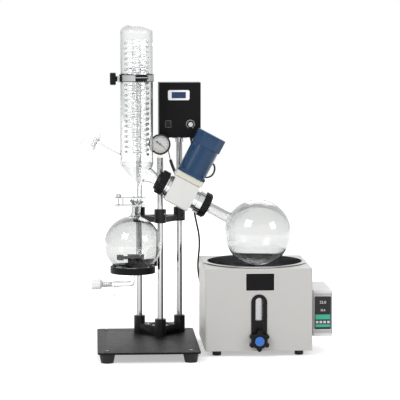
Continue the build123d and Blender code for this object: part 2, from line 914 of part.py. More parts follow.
# Seal flange behind the head, with the seal that runs on the glass duct
seal_start = spindle_end + 2
seal_end = seal_start + 10
seal_radius = 25
with BuildPart() as seal_flange:
    turned(
        head_profile,
        (seal_radius, head_end + seat),
        (seal_flange_radius, head_end + seat),
        (seal_flange_radius, seal_flange_end - 6),
        (seal_flange_radius - 3, seal_flange_end - 5),
        (seal_flange_radius - 3, seal_flange_end),
        (seal_nose_radius, seal_flange_end),
        (seal_nose_radius, duct_end - 3 - seat),
        (seal_radius - 5, duct_end - 3 - seat),
        (seal_radius - 5, seal_end + seat),
        (seal_radius, seal_end + seat),
    )
keep(seal_flange, "seal_flange")

with BuildPart() as shaft_seal:
    turned(
        head_profile,
        (duct_radius + 0.2, seal_start),
        (seal_radius - seat, seal_start),
        (seal_radius - seat, seal_end),
        (duct_radius + 0.2, seal_end),
    )
keep(shaft_seal, "shaft_seal")

arm_flange_start = duct_end + seat
arm_flange_end = arm_flange_start + 4.4
with BuildPart() as vapour_nut:
    turned(
        head_profile,
        (seal_nose_radius + seat, seal_flange_end + seat),
        (vapour_nut_radius - 1.5, seal_flange_end + seat),
        (vapour_nut_radius, seal_flange_end + 2),
        (vapour_nut_radius, vapour_nut_end - 1),
        (vapour_nut_radius - 2, vapour_nut_end),
        (vapour_cone_radius, vapour_nut_end),
        (vapour_cone_radius - 4, vapour_nut_end + vapour_cone_length),
        (vapour_arm_radius + 1.5, vapour_nut_end + vapour_cone_length),
        (vapour_arm_radius + 1.5, arm_flange_end + seat),
        (seal_nose_radius + seat, arm_flange_end + seat),
    )
    ribbed_length = vapour_nut_end - seal_flange_end
    ribbed_rim(head_frame.offset(seal_flange_end), vapour_nut_radius, ribbed_length, 24, 1.6)
    ribbed_rim(head_frame.offset(vapour_nut_end), vapour_cone_radius, vapour_cone_length, 16, 1.2)
keep(vapour_nut, "vapour_nut")

# Condenser: jacket with a domed top, a cone and a ball joint, the vapour arm and the feed arm
condenser_plane = upright(condenser_x, glass_y, 0)
cone_top = condenser_seam - 7
top_flat = 12
condenser_shoulder = condenser_top - condenser_dome
valve = Vector(feed_valve[0], glass_y, feed_valve[1])
feed_port = Vector(condenser_x - condenser_radius + glass_wall, glass_y, feed_port_z)
feed_line = (valve - feed_port).normalized()
valve_axis = Vector(feed_line.Z, 0, -feed_line.X)
feed_profile = Plane(origin=feed_port, x_dir=valve_axis, z_dir=(0, -1, 0))
valve_profile = Plane(origin=valve, x_dir=-feed_line, z_dir=(0, -1, 0))
feed_length = (valve - feed_port).length
barrel_bottom = -15.7
barrel_top = 13


def jacket(wall, mode):
    """The condenser's outline less the wall, from the joint's level up to the dome."""
    with BuildSketch(condenser_plane) as section:
        with BuildLine():
            Polyline(
                (0, condenser_top - wall),
                (0, joint_z),
                (condenser_neck_radius - wall, joint_z),
                (condenser_neck_radius - wall, condenser_cone_bottom),
                (condenser_radius - wall, cone_top),
                (condenser_radius - wall, condenser_shoulder),
            )
            ThreePointArc(
                (condenser_radius - wall, condenser_shoulder),
                (0.8 * (condenser_radius - wall), condenser_shoulder + 0.65 * condenser_dome - wall / 2),
                (top_flat, condenser_top - wall),
            )
            Line((top_flat, condenser_top - wall), (0, condenser_top - wall))
        make_face()
    revolve(section.sketch, axis=Axis(condenser_plane.origin, (0, 0, 1)), mode=mode)


outlet_hose = [valve + Vector(x, 0, z) for x, z in [(-9, 6), (-29, 15), (-41, 12), (-51, 2), (-56, -8)]]
with BuildPart() as condenser:
    jacket(0, Mode.ADD)
    with Locations((condenser_x, glass_y, joint_z)):
        Sphere(joint_ball_radius, arc_size2=0, align=(Align.CENTER, Align.CENTER, Align.MAX))
    turned(
        condenser_plane,
        (0, joint_z),
        (joint_flange_radius, joint_z),
        (joint_flange_radius, joint_z + joint_flange_thick),
        (0, joint_z + joint_flange_thick),
    )
    turned(
        condenser_plane,
        (0, condenser_seam - 4),
        (condenser_radius, condenser_seam - 4),
        (condenser_radius + 1.2, condenser_seam - 2),
        (condenser_radius + 1.2, condenser_seam + 2),
        (condenser_radius, condenser_seam + 4),
        (0, condenser_seam + 4),
    )
    turned(
        head_profile,
        (0, arm_flange_start),
        (glass_flange_radius, arm_flange_start),
        (glass_flange_radius, arm_flange_end),
        (vapour_arm_radius, arm_flange_end),
        (vapour_arm_radius, arm_flange_start + 22),
        (vapour_arm_flare, vapour_arm_reach),
        (0, vapour_arm_reach),
    )
    turned(feed_profile, (0, 0), (feed_arm_radius, 0), (feed_arm_radius, feed_length), (0, feed_length))
    turned(
        valve_profile,
        (0, barrel_bottom),
        (valve_radius, barrel_bottom),
        (valve_radius, barrel_top),
        (0, barrel_top),
    )
    with BuildLine() as hose_line:
        FilletPolyline(*outlet_hose, radius=[18, 14, 14])
    with BuildSketch(Plane(hose_line.line @ 0, z_dir=hose_line.line % 0)):
        Circle(hose_radius)
    sweep()
    vent_z = condenser_shoulder - condenser_vent_drop
    with BuildSketch(Plane(origin=(condenser_x, glass_y, vent_z), z_dir=(1, 0, 0))):
        Circle(hose_radius)
    extrude(amount=condenser_radius + 16)
    jacket(glass_wall, Mode.SUBTRACT)
    turned(
        condenser_plane,
        (0, joint_z - joint_ball_radius - 1),
        (joint_ball_radius / 2 + 1, joint_z - joint_ball_radius - 1),
        (joint_ball_radius / 2 + 1, joint_z + 6),
        (0, joint_z + 6),
        mode=Mode.SUBTRACT,
    )
    turned(
        head_profile,
        (0, arm_flange_start - 1),
        (vapour_arm_radius - glass_wall, arm_flange_start - 1),
        (vapour_arm_radius - glass_wall, arm_flange_start + 22),
        (vapour_arm_flare - glass_wall, vapour_arm_reach),
        (0, vapour_arm_reach),
        mode=Mode.SUBTRACT,
    )
    turned(
        feed_profile,
        (0, -4),
        (feed_arm_radius - 2, -4),
        (feed_arm_radius - 2, feed_length - valve_radius - 1),
        (0, feed_length - valve_radius - 1),
        mode=Mode.SUBTRACT,
    )
    turned(
        valve_profile,
        (0, barrel_bottom - 1),
        (valve_bore, barrel_bottom - 1),
        (valve_bore, barrel_top + 1),
        (0, barrel_top + 1),
        mode=Mode.SUBTRACT,
    )
keep(condenser, "condenser")

# Feed tap: a taper plug held by a nut below and turned by a bar above
tap_bar_length = 34
with BuildPart() as feed_tap:
    turned(
        valve_profile,
        (0, barrel_bottom - 9),
        (valve_radius - 1, barrel_bottom - 9),
        (valve_radius - 1, barrel_bottom - seat),
        (valve_bore - run, barrel_bottom - seat),
        (valve_bore - run, barrel_top + seat),
        (8, barrel_top + seat),
        (8, barrel_top + 3),
        (5, barrel_top + 5),
        (4, barrel_top + 18),
        (0, barrel_top + 18),
    )
    cross_centre = valve + valve_axis * (barrel_top + 20)
    with BuildSketch(Plane(origin=cross_centre, x_dir=feed_line, z_dir=(0, -1, 0))):
        SlotOverall(tap_bar_length, 7)
    extrude(amount=4, both=True)
keep(feed_tap, "feed_tap")

# Coil inside the condenser: an outer winding round an inner one, hung from two legs in the dome
coil_turns = 22
coil_top = condenser_shoulder - coil_headroom
coil_step = (coil_top - coil_bottom) / coil_turns
winding = []
for i in range(coil_turns):
    winding.append((coil_radius, coil_bottom + coil_step * i))
    winding.append((coil_radius + coil_tube_radius, coil_bottom + coil_step * (i + 0.5)))
inner_coil_radius = 16.5
leg_radius = 4
leg_offset = top_flat - leg_radius - 0.5
with BuildPart() as condenser_coil:
    turned(
        condenser_plane,
        *winding,
        (coil_radius, coil_top),
        (coil_radius - coil_tube_radius, coil_top),
        (coil_radius - coil_tube_radius, coil_bottom),
    )
    turned(
        condenser_plane,
        (inner_coil_radius - 4, coil_bottom - 10),
        (inner_coil_radius, coil_bottom - 10),
        (inner_coil_radius, coil_top),
        (inner_coil_radius - 4, coil_top),
    )
    with BuildSketch(Plane.XY.offset(coil_top - 2 * leg_radius)):
        with Locations((condenser_x, glass_y)):
            Rectangle(2 * coil_radius, 2 * leg_radius)
    extrude(amount=2 * leg_radius)
    with BuildSketch(Plane.XY.offset(coil_top)):
        with Locations((condenser_x - leg_offset, glass_y), (condenser_x + leg_offset, glass_y)):
            Circle(leg_radius)
    extrude(amount=condenser_top - glass_wall - seat - coil_top)
keep(condenser_coil, "condenser_coil")

# Condenser clamp: a strap round the jacket on an arm from the left column
strap_middle = (condenser_radius + seat + condenser_clamp_radius) / 2
gap_left = (-5, 33)
condenser_clamp_z = condenser_top - condenser_clamp_drop
clamp_bottom = condenser_clamp_z - condenser_clamp_height / 2
clamp_shank_radius = 4
clamp_boss_x = condenser_x - condenser_clamp_radius - 5.5
rod_radius = 1.5
gap_angles = [degrees(atan2(-sqrt(strap_middle**2 - x**2), x)) for x in gap_left]
rod_circle = (condenser_radius + rod_radius + 1) / cos(radians(gap_angles[1] - gap_angles[0]) / 2)
gap_ends = [
    Vector(condenser_x, glass_y, condenser_clamp_z + 2)
    + Vector(cos(radians(a)), sin(radians(a)), 0) * rod_circle
    for a in gap_angles
]
with BuildPart() as condenser_clamp:
    with BuildSketch(Plane.XY.offset(clamp_bottom)):
        with Locations((condenser_x, glass_y)):
            Circle(condenser_clamp_radius)
    extrude(amount=condenser_clamp_height)
    with BuildSketch(Plane.XY.offset(condenser_clamp_z - 8)):
        with BuildLine():
            Polyline(
                (condenser_x - 2, glass_y + condenser_clamp_radius - 6),
                (condenser_x + 14, glass_y + condenser_clamp_radius - 6),
                (left_column[0] + 8, left_column[1]),
                (left_column[0] - 8, left_column[1]),
                close=True,
            )
        make_face()
    extrude(amount=16)
    with BuildSketch(Plane(origin=(clamp_boss_x, glass_y, condenser_clamp_z - 3), z_dir=(1, 0, 0))):
        RectangleRounded(22, 16, 4)
    extrude(amount=12)
    with BuildSketch(Plane.XY.offset(clamp_bottom - 14)):
        with Locations(left_column):
            Circle(clamp_boss_radius)
    extrude(amount=36)
    with Locations((condenser_x, glass_y, condenser_clamp_z)):
        Cylinder(condenser_radius + seat, 60, mode=Mode.SUBTRACT)
    with Locations((*left_column, condenser_clamp_z)):
        Cylinder(column_radius + run, 80, mode=Mode.SUBTRACT)
    with BuildSketch(Plane(origin=(clamp_boss_x - 1, glass_y, condenser_clamp_z - 3), z_dir=(1, 0, 0))):
        Circle(clamp_shank_radius + run)
    extrude(amount=14, mode=Mode.SUBTRACT)
    with BuildSketch(Plane.XY.offset(clamp_bottom)):
        with Locations((condenser_x + sum(gap_left) / 2, glass_y - condenser_clamp_radius)):
            Rectangle(gap_left[1] - gap_left[0], 2 * condenser_clamp_radius - 20)
    extrude(amount=condenser_clamp_height, mode=Mode.SUBTRACT)
    with BuildSketch(Plane.XY.offset(condenser_clamp_z - 4)):
        for angle, out in zip(gap_angles, (-3, 3)):
            with Locations(Location((condenser_x, glass_y), angle + out)):
                with Locations(((strap_middle + rod_circle + 3) / 2, 0)):
                    Rectangle(rod_circle + 3 - strap_middle, 7)
    extrude(amount=12)
    with BuildSketch(Plane(gap_ends[0], z_dir=gap_ends[1] - gap_ends[0])):
        Circle(rod_radius)
    extrude(amount=(gap_ends[1] - gap_ends[0]).length)
keep(condenser_clamp, "condenser_clamp")

with BuildPart() as clamp_knob:
    knob_plane = across(clamp_boss_x, glass_y, condenser_clamp_z - 3)
    shank_tip = condenser_x - condenser_radius - seat - clamp_boss_x
    turned(
        knob_plane,
        (0, shank_tip),
        (clamp_shank_radius, shank_tip),
        (clamp_shank_radius, -seat),
        (9, -seat),
        (9, -5),
        (clamp_knob_radius - 2, -5),
        (clamp_knob_radius, -7),
        (clamp_knob_radius, -22.6),
        (clamp_knob_radius - 2, -24.6),
        (0, -24.6),
    )
    ribs_plane = Plane(origin=(clamp_boss_x - 5, glass_y, condenser_clamp_z - 3), z_dir=(-1, 0, 0))
    ribbed_rim(ribs_plane, clamp_knob_radius, 20, 20, 1)
keep(clamp_knob, "clamp_knob")

# Ball joint clamp: two forks pushed on from the left, drawn together by a screw
receiver_axis = Vector(sin(radians(receiver_tilt)), 0, cos(radians(receiver_tilt)))
joint_centre = Vector(condenser_x, glass_y, joint_z)
receiver_centre = joint_centre - receiver_axis * receiver_drop
receiver_profile = Plane(
    origin=receiver_centre,
    x_dir=(cos(radians(receiver_tilt)), 0, -sin(radians(receiver_tilt))),
    z_dir=(0, -1, 0),
)
upper_fork = joint_z + joint_flange_thick + seat
lower_fork = joint_z - 17.1 - joint_plate_thick
fork_left = condenser_x - 73
post_x = condenser_x - 47
screw_x = condenser_x - 61
forks = [(upper_fork, condenser_neck_radius + seat, 0), (lower_fork, receiver_neck_radius + 1, -2)]
with BuildPart() as joint_clamp:
    for bottom, slot, shift in forks:
        with BuildSketch(Plane.XY.offset(bottom)):
            with Locations((fork_left + joint_plate_length / 2, glass_y)):
                RectangleRounded(joint_plate_length, joint_plate_width, 6)
            with Locations((condenser_x + shift, glass_y)):
                Circle(slot, mode=Mode.SUBTRACT)
            with Locations((condenser_x + shift + 30, glass_y)):
                Rectangle(60, 2 * slot, mode=Mode.SUBTRACT)
            with Locations((screw_x, glass_y)):
                Circle(joint_screw_radius + run, mode=Mode.SUBTRACT)
        extrude(amount=joint_plate_thick)
    with BuildSketch(Plane.XY.offset(lower_fork)):
        with Locations((post_x, glass_y)):
            Rectangle(8, 24)
    extrude(amount=upper_fork + joint_plate_thick - lower_fork)
keep(joint_clamp, "joint_clamp")

with BuildPart() as joint_clamp_screw:
    turned(
        upright(screw_x, glass_y, upper_fork + joint_plate_thick),
        (0, lower_fork - upper_fork - 10),
        (joint_screw_radius, lower_fork - upper_fork - 10),
        (joint_screw_radius, seat),
        (8, seat),
        (8, 9),
        (7, 10),
        (0, 10),
    )
keep(joint_clamp_screw, "joint_clamp_screw")

# Receiving flask: ball joint cup, neck, ball and a drain tube that turns to a stopcock
cup_bottom = receiver_drop - 15.5
drain_turn = receiver_centre.X - drain_elbow_radius
elbow_start = receiver_centre.Z - sqrt((receiver_radius - glass_wall) ** 2 - drain_tube_radius**2)
barrel_seat = drain_nozzle_x + 10
nozzle_bottom = 168
drain_line = [
    (receiver_centre.X, glass_y, elbow_start + 2),
    (receiver_centre.X, glass_y, drain_z),
    (barrel_seat + 2, glass_y, drain_z),
]
drain_plane = across(0, glass_y, drain_z)
with BuildPart() as receiving_flask:
    blown_flask(
        receiver_profile,
        receiver_radius,
        receiver_neck_radius,
        receiver_neck_blend,
        glass_wall,
        cup_bottom,
        open_bottom=0,
    )
    turned(
        receiver_profile,
        (receiver_neck_radius - glass_wall, cup_bottom - 1),
        (receiver_neck_radius, cup_bottom - 1),
        (receiver_neck_radius, cup_bottom),
        (joint_ball_radius + 4.3, cup_bottom + 4.5),
        (joint_ball_radius + 4.3, cup_bottom + 12.5),
        (receiver_neck_radius - glass_wall, cup_bottom + 12.5),
    )
    with Locations(joint_centre):
        Sphere(joint_ball_radius + seat, mode=Mode.SUBTRACT)
    for radius, mode in [(drain_tube_radius, Mode.ADD), (drain_tube_radius - 2.5, Mode.SUBTRACT)]:
        if mode == Mode.SUBTRACT:
            turned(
                drain_plane,
                (0, drain_barrel_end),
                (drain_barrel_radius, drain_barrel_end),
                (drain_barrel_radius, drain_barrel_start),
                (0, drain_barrel_start),
            )
            with BuildSketch(Plane(origin=(drain_nozzle_x, glass_y, drain_z))):
                Circle(6.6)
            extrude(amount=nozzle_bottom - drain_z, taper=1.1)
        with BuildLine(mode=Mode.PRIVATE) as drain_path:
            FilletPolyline(*drain_line, radius=drain_elbow_radius)
        with BuildSketch(Plane(drain_path.line @ 0, z_dir=drain_path.line % 0)) as bore:
            Circle(radius)
        sweep(bore.sketch, path=drain_path.line, mode=mode)
    turned(
        drain_plane,
        (0, drain_barrel_end - 1),
        (drain_barrel_bore, drain_barrel_end - 1),
        (drain_barrel_bore, barrel_seat),
        (0, barrel_seat),
        mode=Mode.SUBTRACT,
    )
    with BuildSketch(Plane(origin=(drain_nozzle_x, glass_y, drain_z))):
        Circle(4)
    extrude(amount=nozzle_bottom - drain_z - 1, mode=Mode.SUBTRACT)
    with Locations(receiver_centre):
        Sphere(receiver_radius - glass_wall - 0.01, mode=Mode.SUBTRACT)
keep(receiving_flask, "receiving_flask")

with BuildPart() as drain_knob:
    turned(
        drain_plane,
        (0, drain_knob_end),
        (drain_knob_radius - 2, drain_knob_end),
        (drain_knob_radius, drain_knob_end + 2),
        (drain_knob_radius, drain_barrel_end - 8),
        (drain_barrel_radius, drain_barrel_end - seat),
        (drain_barrel_bore - seat, drain_barrel_end - seat),
        (drain_barrel_bore - seat, drain_barrel_end + 6),
        (drain_barrel_bore - run, drain_barrel_end + 7),
        (drain_barrel_bore - run, drain_barrel_end + 10),
        (drain_barrel_bore - seat, drain_barrel_end + 11),
        (drain_barrel_bore - seat, drain_nozzle_x - 10),
        (drain_barrel_bore - run, drain_nozzle_x - 9),
        (drain_barrel_bore - run, drain_nozzle_x - 7),
        (4, drain_nozzle_x - 4.5),
        (0, drain_nozzle_x - 4.5),
    )
    ribs_plane = Plane(origin=(drain_knob_end, glass_y, drain_z), z_dir=(1, 0, 0))
    ribbed_rim(ribs_plane, drain_knob_radius, 29, 20, 1)
keep(drain_knob, "drain_knob")

# Support ring: a band with an inner lip under the flask, on an arm and a boss with a thumb screw
ring_top = ring_bottom + ring_band_height
ring_middle = (receiver_centre.X, glass_y)
ring_screw_z = ring_top + 9.5
ring_block_left = left_column[0] - 40
with BuildPart() as support_ring:
    turned(
        upright(*ring_middle, 0),
        (ring_radius - ring_band_thick, ring_bottom),
        (ring_radius, ring_bottom),
        (ring_radius, ring_top),
        (ring_lip, ring_top),
        (ring_lip, ring_top - 5.5),
        (ring_radius - ring_band_thick, ring_top - 5.5),
    )
    with BuildSketch(Plane.XY.offset(ring_bottom + 4)):
        with Locations((receiver_centre.X, (glass_y + ring_radius - 4 + left_column[1]) / 2)):
            Rectangle(20, left_column[1] - glass_y - ring_radius + 4)
        with Locations((left_column[0] + 30, left_column[1])):
            Rectangle(60, 16)
    extrude(amount=ring_band_height - 2)
    with BuildSketch(Plane.XY.offset(ring_bottom + 4)):
        with Locations(left_column):
            Circle(ring_boss_radius)
        with Locations(((ring_block_left + left_column[0]) / 2, left_column[1])):
            Rectangle(left_column[0] - ring_block_left, 24)
    extrude(amount=ring_screw_z + 11 - ring_bottom - 4)
    with Locations((*left_column, ring_bottom)):
        Cylinder(column_radius + run, 3 * (ring_screw_z + 11 - ring_bottom), mode=Mode.SUBTRACT)
    with BuildSketch(Plane(origin=(ring_block_left, left_column[1], ring_screw_z), z_dir=(1, 0, 0))):
        Circle(4 + run)
    extrude(amount=left_column[0] - ring_block_left, mode=Mode.SUBTRACT)
keep(support_ring, "support_ring")

with BuildPart() as ring_screw:
    screw_tip = left_column[0] - column_radius - seat
    turned(
        across(0, left_column[1], ring_screw_z),
        (0, ring_block_left - 40),
        (ring_knob_radius - 1.5, ring_block_left - 40),
        (ring_knob_radius, ring_block_left - 38.5),
        (ring_knob_radius, ring_block_left - 16),
        (6, ring_block_left - 14),
        (6, ring_block_left - seat),
        (4, ring_block_left - seat),
        (4, screw_tip),
        (0, screw_tip),
    )
keep(ring_screw, "ring_screw")

# Heating bath: a sheet steel casing on four feet, open on top, with the lift slot in front
bath_centre = (bath_centre_x, glass_y)
bath_top = bath_foot_height + bath_height
bath_front = glass_y - bath_y / 2
bath_right = bath_centre_x + bath_x / 2
jacket_radius = min(bath_x, bath_y) / 2 - jacket_margin
rim_radius = jacket_radius + rim_overhang
casing_opening = jacket_radius + 6
slot_middle = (slot_top + slot_bottom) / 2
slot_length = slot_top - slot_bottom
rail_y = glass_y - 35
stud_hole_z = controller_bottom + controller_z / 2
foot_spread = (bath_x - 2 * bath_foot_inset, bath_y - 2 * bath_foot_inset)
with BuildPart() as bath_casing:
    with BuildSketch(Plane(origin=(*bath_centre, bath_foot_height))):
        RectangleRounded(bath_x, bath_y, bath_corner)
    extrude(amount=bath_height)
    fillet(bath_casing.faces().sort_by(Axis.Z)[-1].edges(), radius=3)
    with BuildSketch(Plane(origin=(*bath_centre, bath_foot_height + bath_wall))):
        RectangleRounded(bath_x - 2 * bath_wall, bath_y - 2 * bath_wall, bath_corner - bath_wall)
    extrude(amount=bath_height - 2 * bath_wall, mode=Mode.SUBTRACT)
    with BuildSketch(Plane(origin=(*bath_centre, bath_top - 2 * bath_wall))):
        Circle(casing_opening)
    extrude(amount=3 * bath_wall, mode=Mode.SUBTRACT)
    with BuildSketch(upright(bath_centre_x, bath_front + 2 * bath_wall, slot_middle)):
        SlotOverall(slot_length, slot_inner, rotation=90)
    extrude(amount=3 * bath_wall, mode=Mode.SUBTRACT)
keep(bath_casing, "bath_casing")

with BuildPart() as bath_feet:
    with Locations((*bath_centre, bath_foot_height / 2)):
        with GridLocations(*foot_spread, 2, 2):
            Cylinder(bath_foot_radius, bath_foot_height)
    chamfer(bath_feet.edges().filter_by(GeomType.CIRCLE).group_by(Axis.Z)[0], length=1.5)
keep(bath_feet, "bath_feet")

with BuildPart() as slot_trim:
    with BuildSketch(upright(bath_centre_x, bath_front, slot_middle)):
        SlotOverall(slot_length + 2 * slot_border, slot_outer, rotation=90)
        SlotOverall(slot_length, slot_inner, rotation=90, mode=Mode.SUBTRACT)
    extrude(amount=trim_thick)
    chamfer(slot_trim.faces().sort_by(Axis.Y)[0].outer_wire().edges(), length=1.2)
keep(slot_trim, "slot_trim")

# Pot: a double walled basin under one rolled rim, on a gasket, with its heater under the floor
rim_top = bath_top + gasket_thick + seat + 2.3
basin_radius = jacket_radius - jacket_wall
jacket_bottom = 40
heater_height = 22
with BuildPart() as pot:
    turned(
        upright(*bath_centre, 0),
        (0, basin_floor - 3),
        (basin_radius - 14, basin_floor - 3),
        (jacket_radius - 1.5, basin_floor + 9),
        (jacket_radius - 1.5, jacket_bottom),
        (jacket_radius, jacket_bottom),
        (jacket_radius, bath_top + gasket_thick + seat),
        (rim_radius, bath_top + gasket_thick + seat),
        (rim_radius, rim_top),
        (basin_radius, rim_top),
        (basin_radius, basin_floor + 14),
        (basin_radius - 12, basin_floor),
        (0, basin_floor),
    )
keep(pot, "pot")

with BuildPart() as pot_gasket:
    with BuildSketch(Plane(origin=(*bath_centre, bath_top))):
        Circle(rim_radius - 1)
        Circle(casing_opening + 0.5, mode=Mode.SUBTRACT)
    extrude(amount=gasket_thick)
keep(pot_gasket, "pot_gasket")

with BuildPart() as heater:
    with BuildSketch(Plane(origin=(*bath_centre, basin_floor - 3 - seat - heater_height))):
        Circle(basin_radius - 25)
        Circle(basin_radius - 25 - heater_ring, mode=Mode.SUBTRACT)
    extrude(amount=heater_height)
keep(heater, "heater")

# Lift: a plate inside the casing carries the pot and is clamped by a star knob in the slot
plate_back = bath_front + bath_wall + 2 + lift_plate_thick
lift_plate_bottom = foot_height
standoff_z = lift_plate_bottom + lift_plate_z - 15
knob_back = bath_front - trim_thick - seat
with BuildPart() as lift_plate:
    with BuildSketch(upright(bath_centre_x, plate_back, lift_plate_bottom + lift_plate_z / 2)):
        RectangleRounded(lift_plate_x, lift_plate_z, 5)
        with Locations((0, lift_knob_z - lift_plate_bottom - lift_plate_z / 2)):
            Circle(lift_stud_radius + run, mode=Mode.SUBTRACT)
    extrude(amount=lift_plate_thick)
    with BuildSketch(upright(bath_centre_x, plate_back, standoff_z)):
        with Locations((-22, 0), (22, 0)):
            Circle(6)
    extrude(amount=-12)
    with Locations((*bath_centre, standoff_z)):
        Cylinder(jacket_radius + seat, 60, mode=Mode.SUBTRACT)
keep(lift_plate, "lift_plate")

knob_thick = 18
cap_thick = 6
bush_radius = slot_inner / 2 - 0.5
with BuildPart() as lift_knob:
    with BuildSketch(upright(bath_centre_x, knob_back, lift_knob_z)):
        Circle(lift_knob_radius - 9)
        with PolarLocations(lift_knob_radius - 8, lift_knob_lobes, start_angle=90):
            Circle(8)
    extrude(amount=knob_thick)
    fillet(lift_knob.faces().sort_by(Axis.Y)[0].outer_wire().edges(), radius=1.5)
    with BuildSketch(upright(bath_centre_x, knob_back - knob_thick, lift_knob_z)):
        Circle(lift_cap_radius)
    extrude(amount=cap_thick, taper=8)
    with BuildSketch(upright(bath_centre_x, knob_back, lift_knob_z)):
        Circle(bush_radius)
    extrude(amount=-(plate_back - lift_plate_thick - seat - knob_back))
    with BuildSketch(upright(bath_centre_x, knob_back, lift_knob_z)):
        Circle(lift_stud_radius)
    extrude(amount=-(plate_back + 4 - knob_back))
keep(lift_knob, "lift_knob")

# Controller: a shell hung on a rail on the bath's side, with its panel and four keys in front
shell_left = bath_right + controller_rail
controller_front = glass_y - 35 - controller_y / 2
shell_middle = (shell_left + controller_x / 2, rail_y)
panel_centre_z = controller_bottom + controller_z / 2 + 1.8
panel_front = controller_front - panel_thick
keys_x = [shell_middle[0] + key_pitch * (i - 1.5) for i in range(4)]
with BuildPart() as controller_shell:
    with BuildSketch(Plane(origin=(*shell_middle, controller_bottom))):
        RectangleRounded(controller_x, controller_y, controller_corner)
    extrude(amount=controller_z)
    fillet(controller_shell.faces().sort_by(Axis.Z)[-1].edges(), radius=3)
    with BuildSketch(Plane(origin=(bath_right + seat, rail_y, stud_hole_z), z_dir=(1, 0, 0))):
        Rectangle(controller_z * 0.6, controller_y * 0.7)
    extrude(amount=controller_rail - seat + 1)
    with BuildSketch(upright(0, controller_front + 6, key_z)):
        with Locations((shell_middle[0], 0)):
            Rectangle(3 * key_pitch + key_width + 2, key_height + 3)
    extrude(amount=7, mode=Mode.SUBTRACT)
keep(controller_shell, "controller_shell")

with BuildPart() as controller_panel:
    with BuildSketch(upright(shell_middle[0], controller_front, panel_centre_z)):
        RectangleRounded(panel_x, panel_z, 2)
    extrude(amount=panel_thick)
    with BuildSketch(upright(shell_middle[0], panel_front, panel_centre_z)):
        with Locations((0, panel_z / 2 - 20), (0, panel_z / 2 - 46)):
            Rectangle(panel_window_x, panel_window_z)
    extrude(amount=-1, mode=Mode.SUBTRACT)
    with BuildSketch(upright(0, controller_front, key_z)):
        with Locations(*[(x, 0) for x in keys_x]):
            Rectangle(key_width + 2 * seat, key_height + 2 * seat)
    extrude(amount=panel_thick, mode=Mode.SUBTRACT)
keep(controller_panel, "controller_panel")

for number, x in enumerate(keys_x, start=1):
    with BuildPart() as key:
        with BuildSketch(upright(x, controller_front + 3, key_z)):
            RectangleRounded(key_width, key_height, 1)
        extrude(amount=3 + panel_thick + 1.2)
        with BuildSketch(upright(x, controller_front + 3, key_z)):
            Circle(2.5)
        extrude(amount=-(3 - key_travel - 2 * seat))
    keep(key, f"key_{number}")

# Cords: the mains cord with its coil and plug, the lead to the head and the loop on the motor


def cord_tube(points, radius):
    """A round cord along straight runs and arcs."""
    corners = [Vector(*p) for p in points]
    radii = []
    for before, corner, after in zip(corners, corners[1:], corners[2:]):
        turn = (corner - before).get_angle(after - corner)
        shorter = min((corner - before).length, (after - corner).length)
        radii.append(0.45 * shorter / tan(radians(turn) / 2))
    with BuildPart(mode=Mode.PRIVATE) as tube:
        with BuildLine() as route:
            FilletPolyline(*corners, radius=radii)
        with BuildSketch(Plane(route.line @ 0, z_dir=route.line % 0)):
            Circle(radius)
        sweep()
    return tube.part


mains_exit = box_bottom - 16
mains_coil_centre = (128.2, 277.1)
mains_line = [
    (*mains_gland, mains_exit),
    (-31, 200, 650),
    (-32, 203, 590),
    (-29, 208, 520),
    (-23, 214, 450),
    (-13, 221, 402),
    (-3.5, 227, 360),
    (-2, 232, 318),
    (-6, 235, 281),
    (-8, 236, 245),
    (-2, 238, 204),
    (8, 241, 163),
    (18, 245, 118),
    (28, 251, 74),
    (40, 262, 34),
    (58, 280, 12),
    (82, 298, 4),
    (110, 311, 3.6),
]
tail_line = [(148, 310, 3.6), (176, 298, 6), (202, 294, 11)]
with BuildPart() as mains_cord:
    add(cord_tube(mains_line, cord_radius))
    add(cord_tube(tail_line, cord_radius))
keep(mains_cord, "mains_cord")

with BuildPart() as mains_coil:
    with BuildSketch():
        with Locations(mains_coil_centre):
            Circle(mains_coil_radius)
            Circle(mains_coil_inner, mode=Mode.SUBTRACT)
    extrude(amount=mains_coil_height)
    fillet(mains_coil.edges().filter_by(GeomType.CIRCLE), radius=3)
keep(mains_coil, "mains_coil")

plug_length = 38
plug_start = Vector(*tail_line[-1])
plug_line = Vector(26, -4, 0).normalized()
plug_plane = Plane(origin=plug_start, x_dir=(-plug_line.Y, plug_line.X, 0), z_dir=plug_line)
with BuildPart() as mains_plug:
    with BuildSketch(plug_plane):
        RectangleRounded(14, 12, 4)
    with BuildSketch(plug_plane.offset(plug_length)):
        RectangleRounded(28, 21, 6)
    loft()
    with BuildSketch(plug_plane.offset(plug_length)):
        with Locations((-6.4, 3), (6.4, 3)):
            Rectangle(1.5, 6.3)
    extrude(amount=17)
    with BuildSketch(plug_plane.offset(plug_length)):
        with Locations((0, -5)):
            Circle(2.4)
    extrude(amount=20)
keep(mains_plug, "mains_plug")

sleeve_top = (-106, 130, 624.4)
lead_line = [(*lead_gland, box_bottom - 10), (-115, 147, 672), (-111, 140, 648), sleeve_top]
sleeve_line = [sleeve_top, (-98, 122, 600), (-88, 112, 578), (-78, 99, 562), (-74, arm_start - seat, 556)]
loop_line = [
    (42, 22, 134),
    (54, 22, 132),
    (63, 17, 122),
    (66, 9, 108),
    (63, 3, 94),
    (54, 0, 84),
    (46, 0, 80),
]
with BuildPart() as motor_lead:
    add(cord_tube(lead_line, lead_radius))
    add(cord_tube(sleeve_line, sleeve_radius))
    add(cord_tube([motor_frame.from_local_coords(p) for p in loop_line], loop_radius))
keep(motor_lead, "motor_lead")
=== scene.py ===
from math import atan2, cos, degrees, pi, radians, sin, sqrt

import bpy
from mathutils import Matrix, Vector


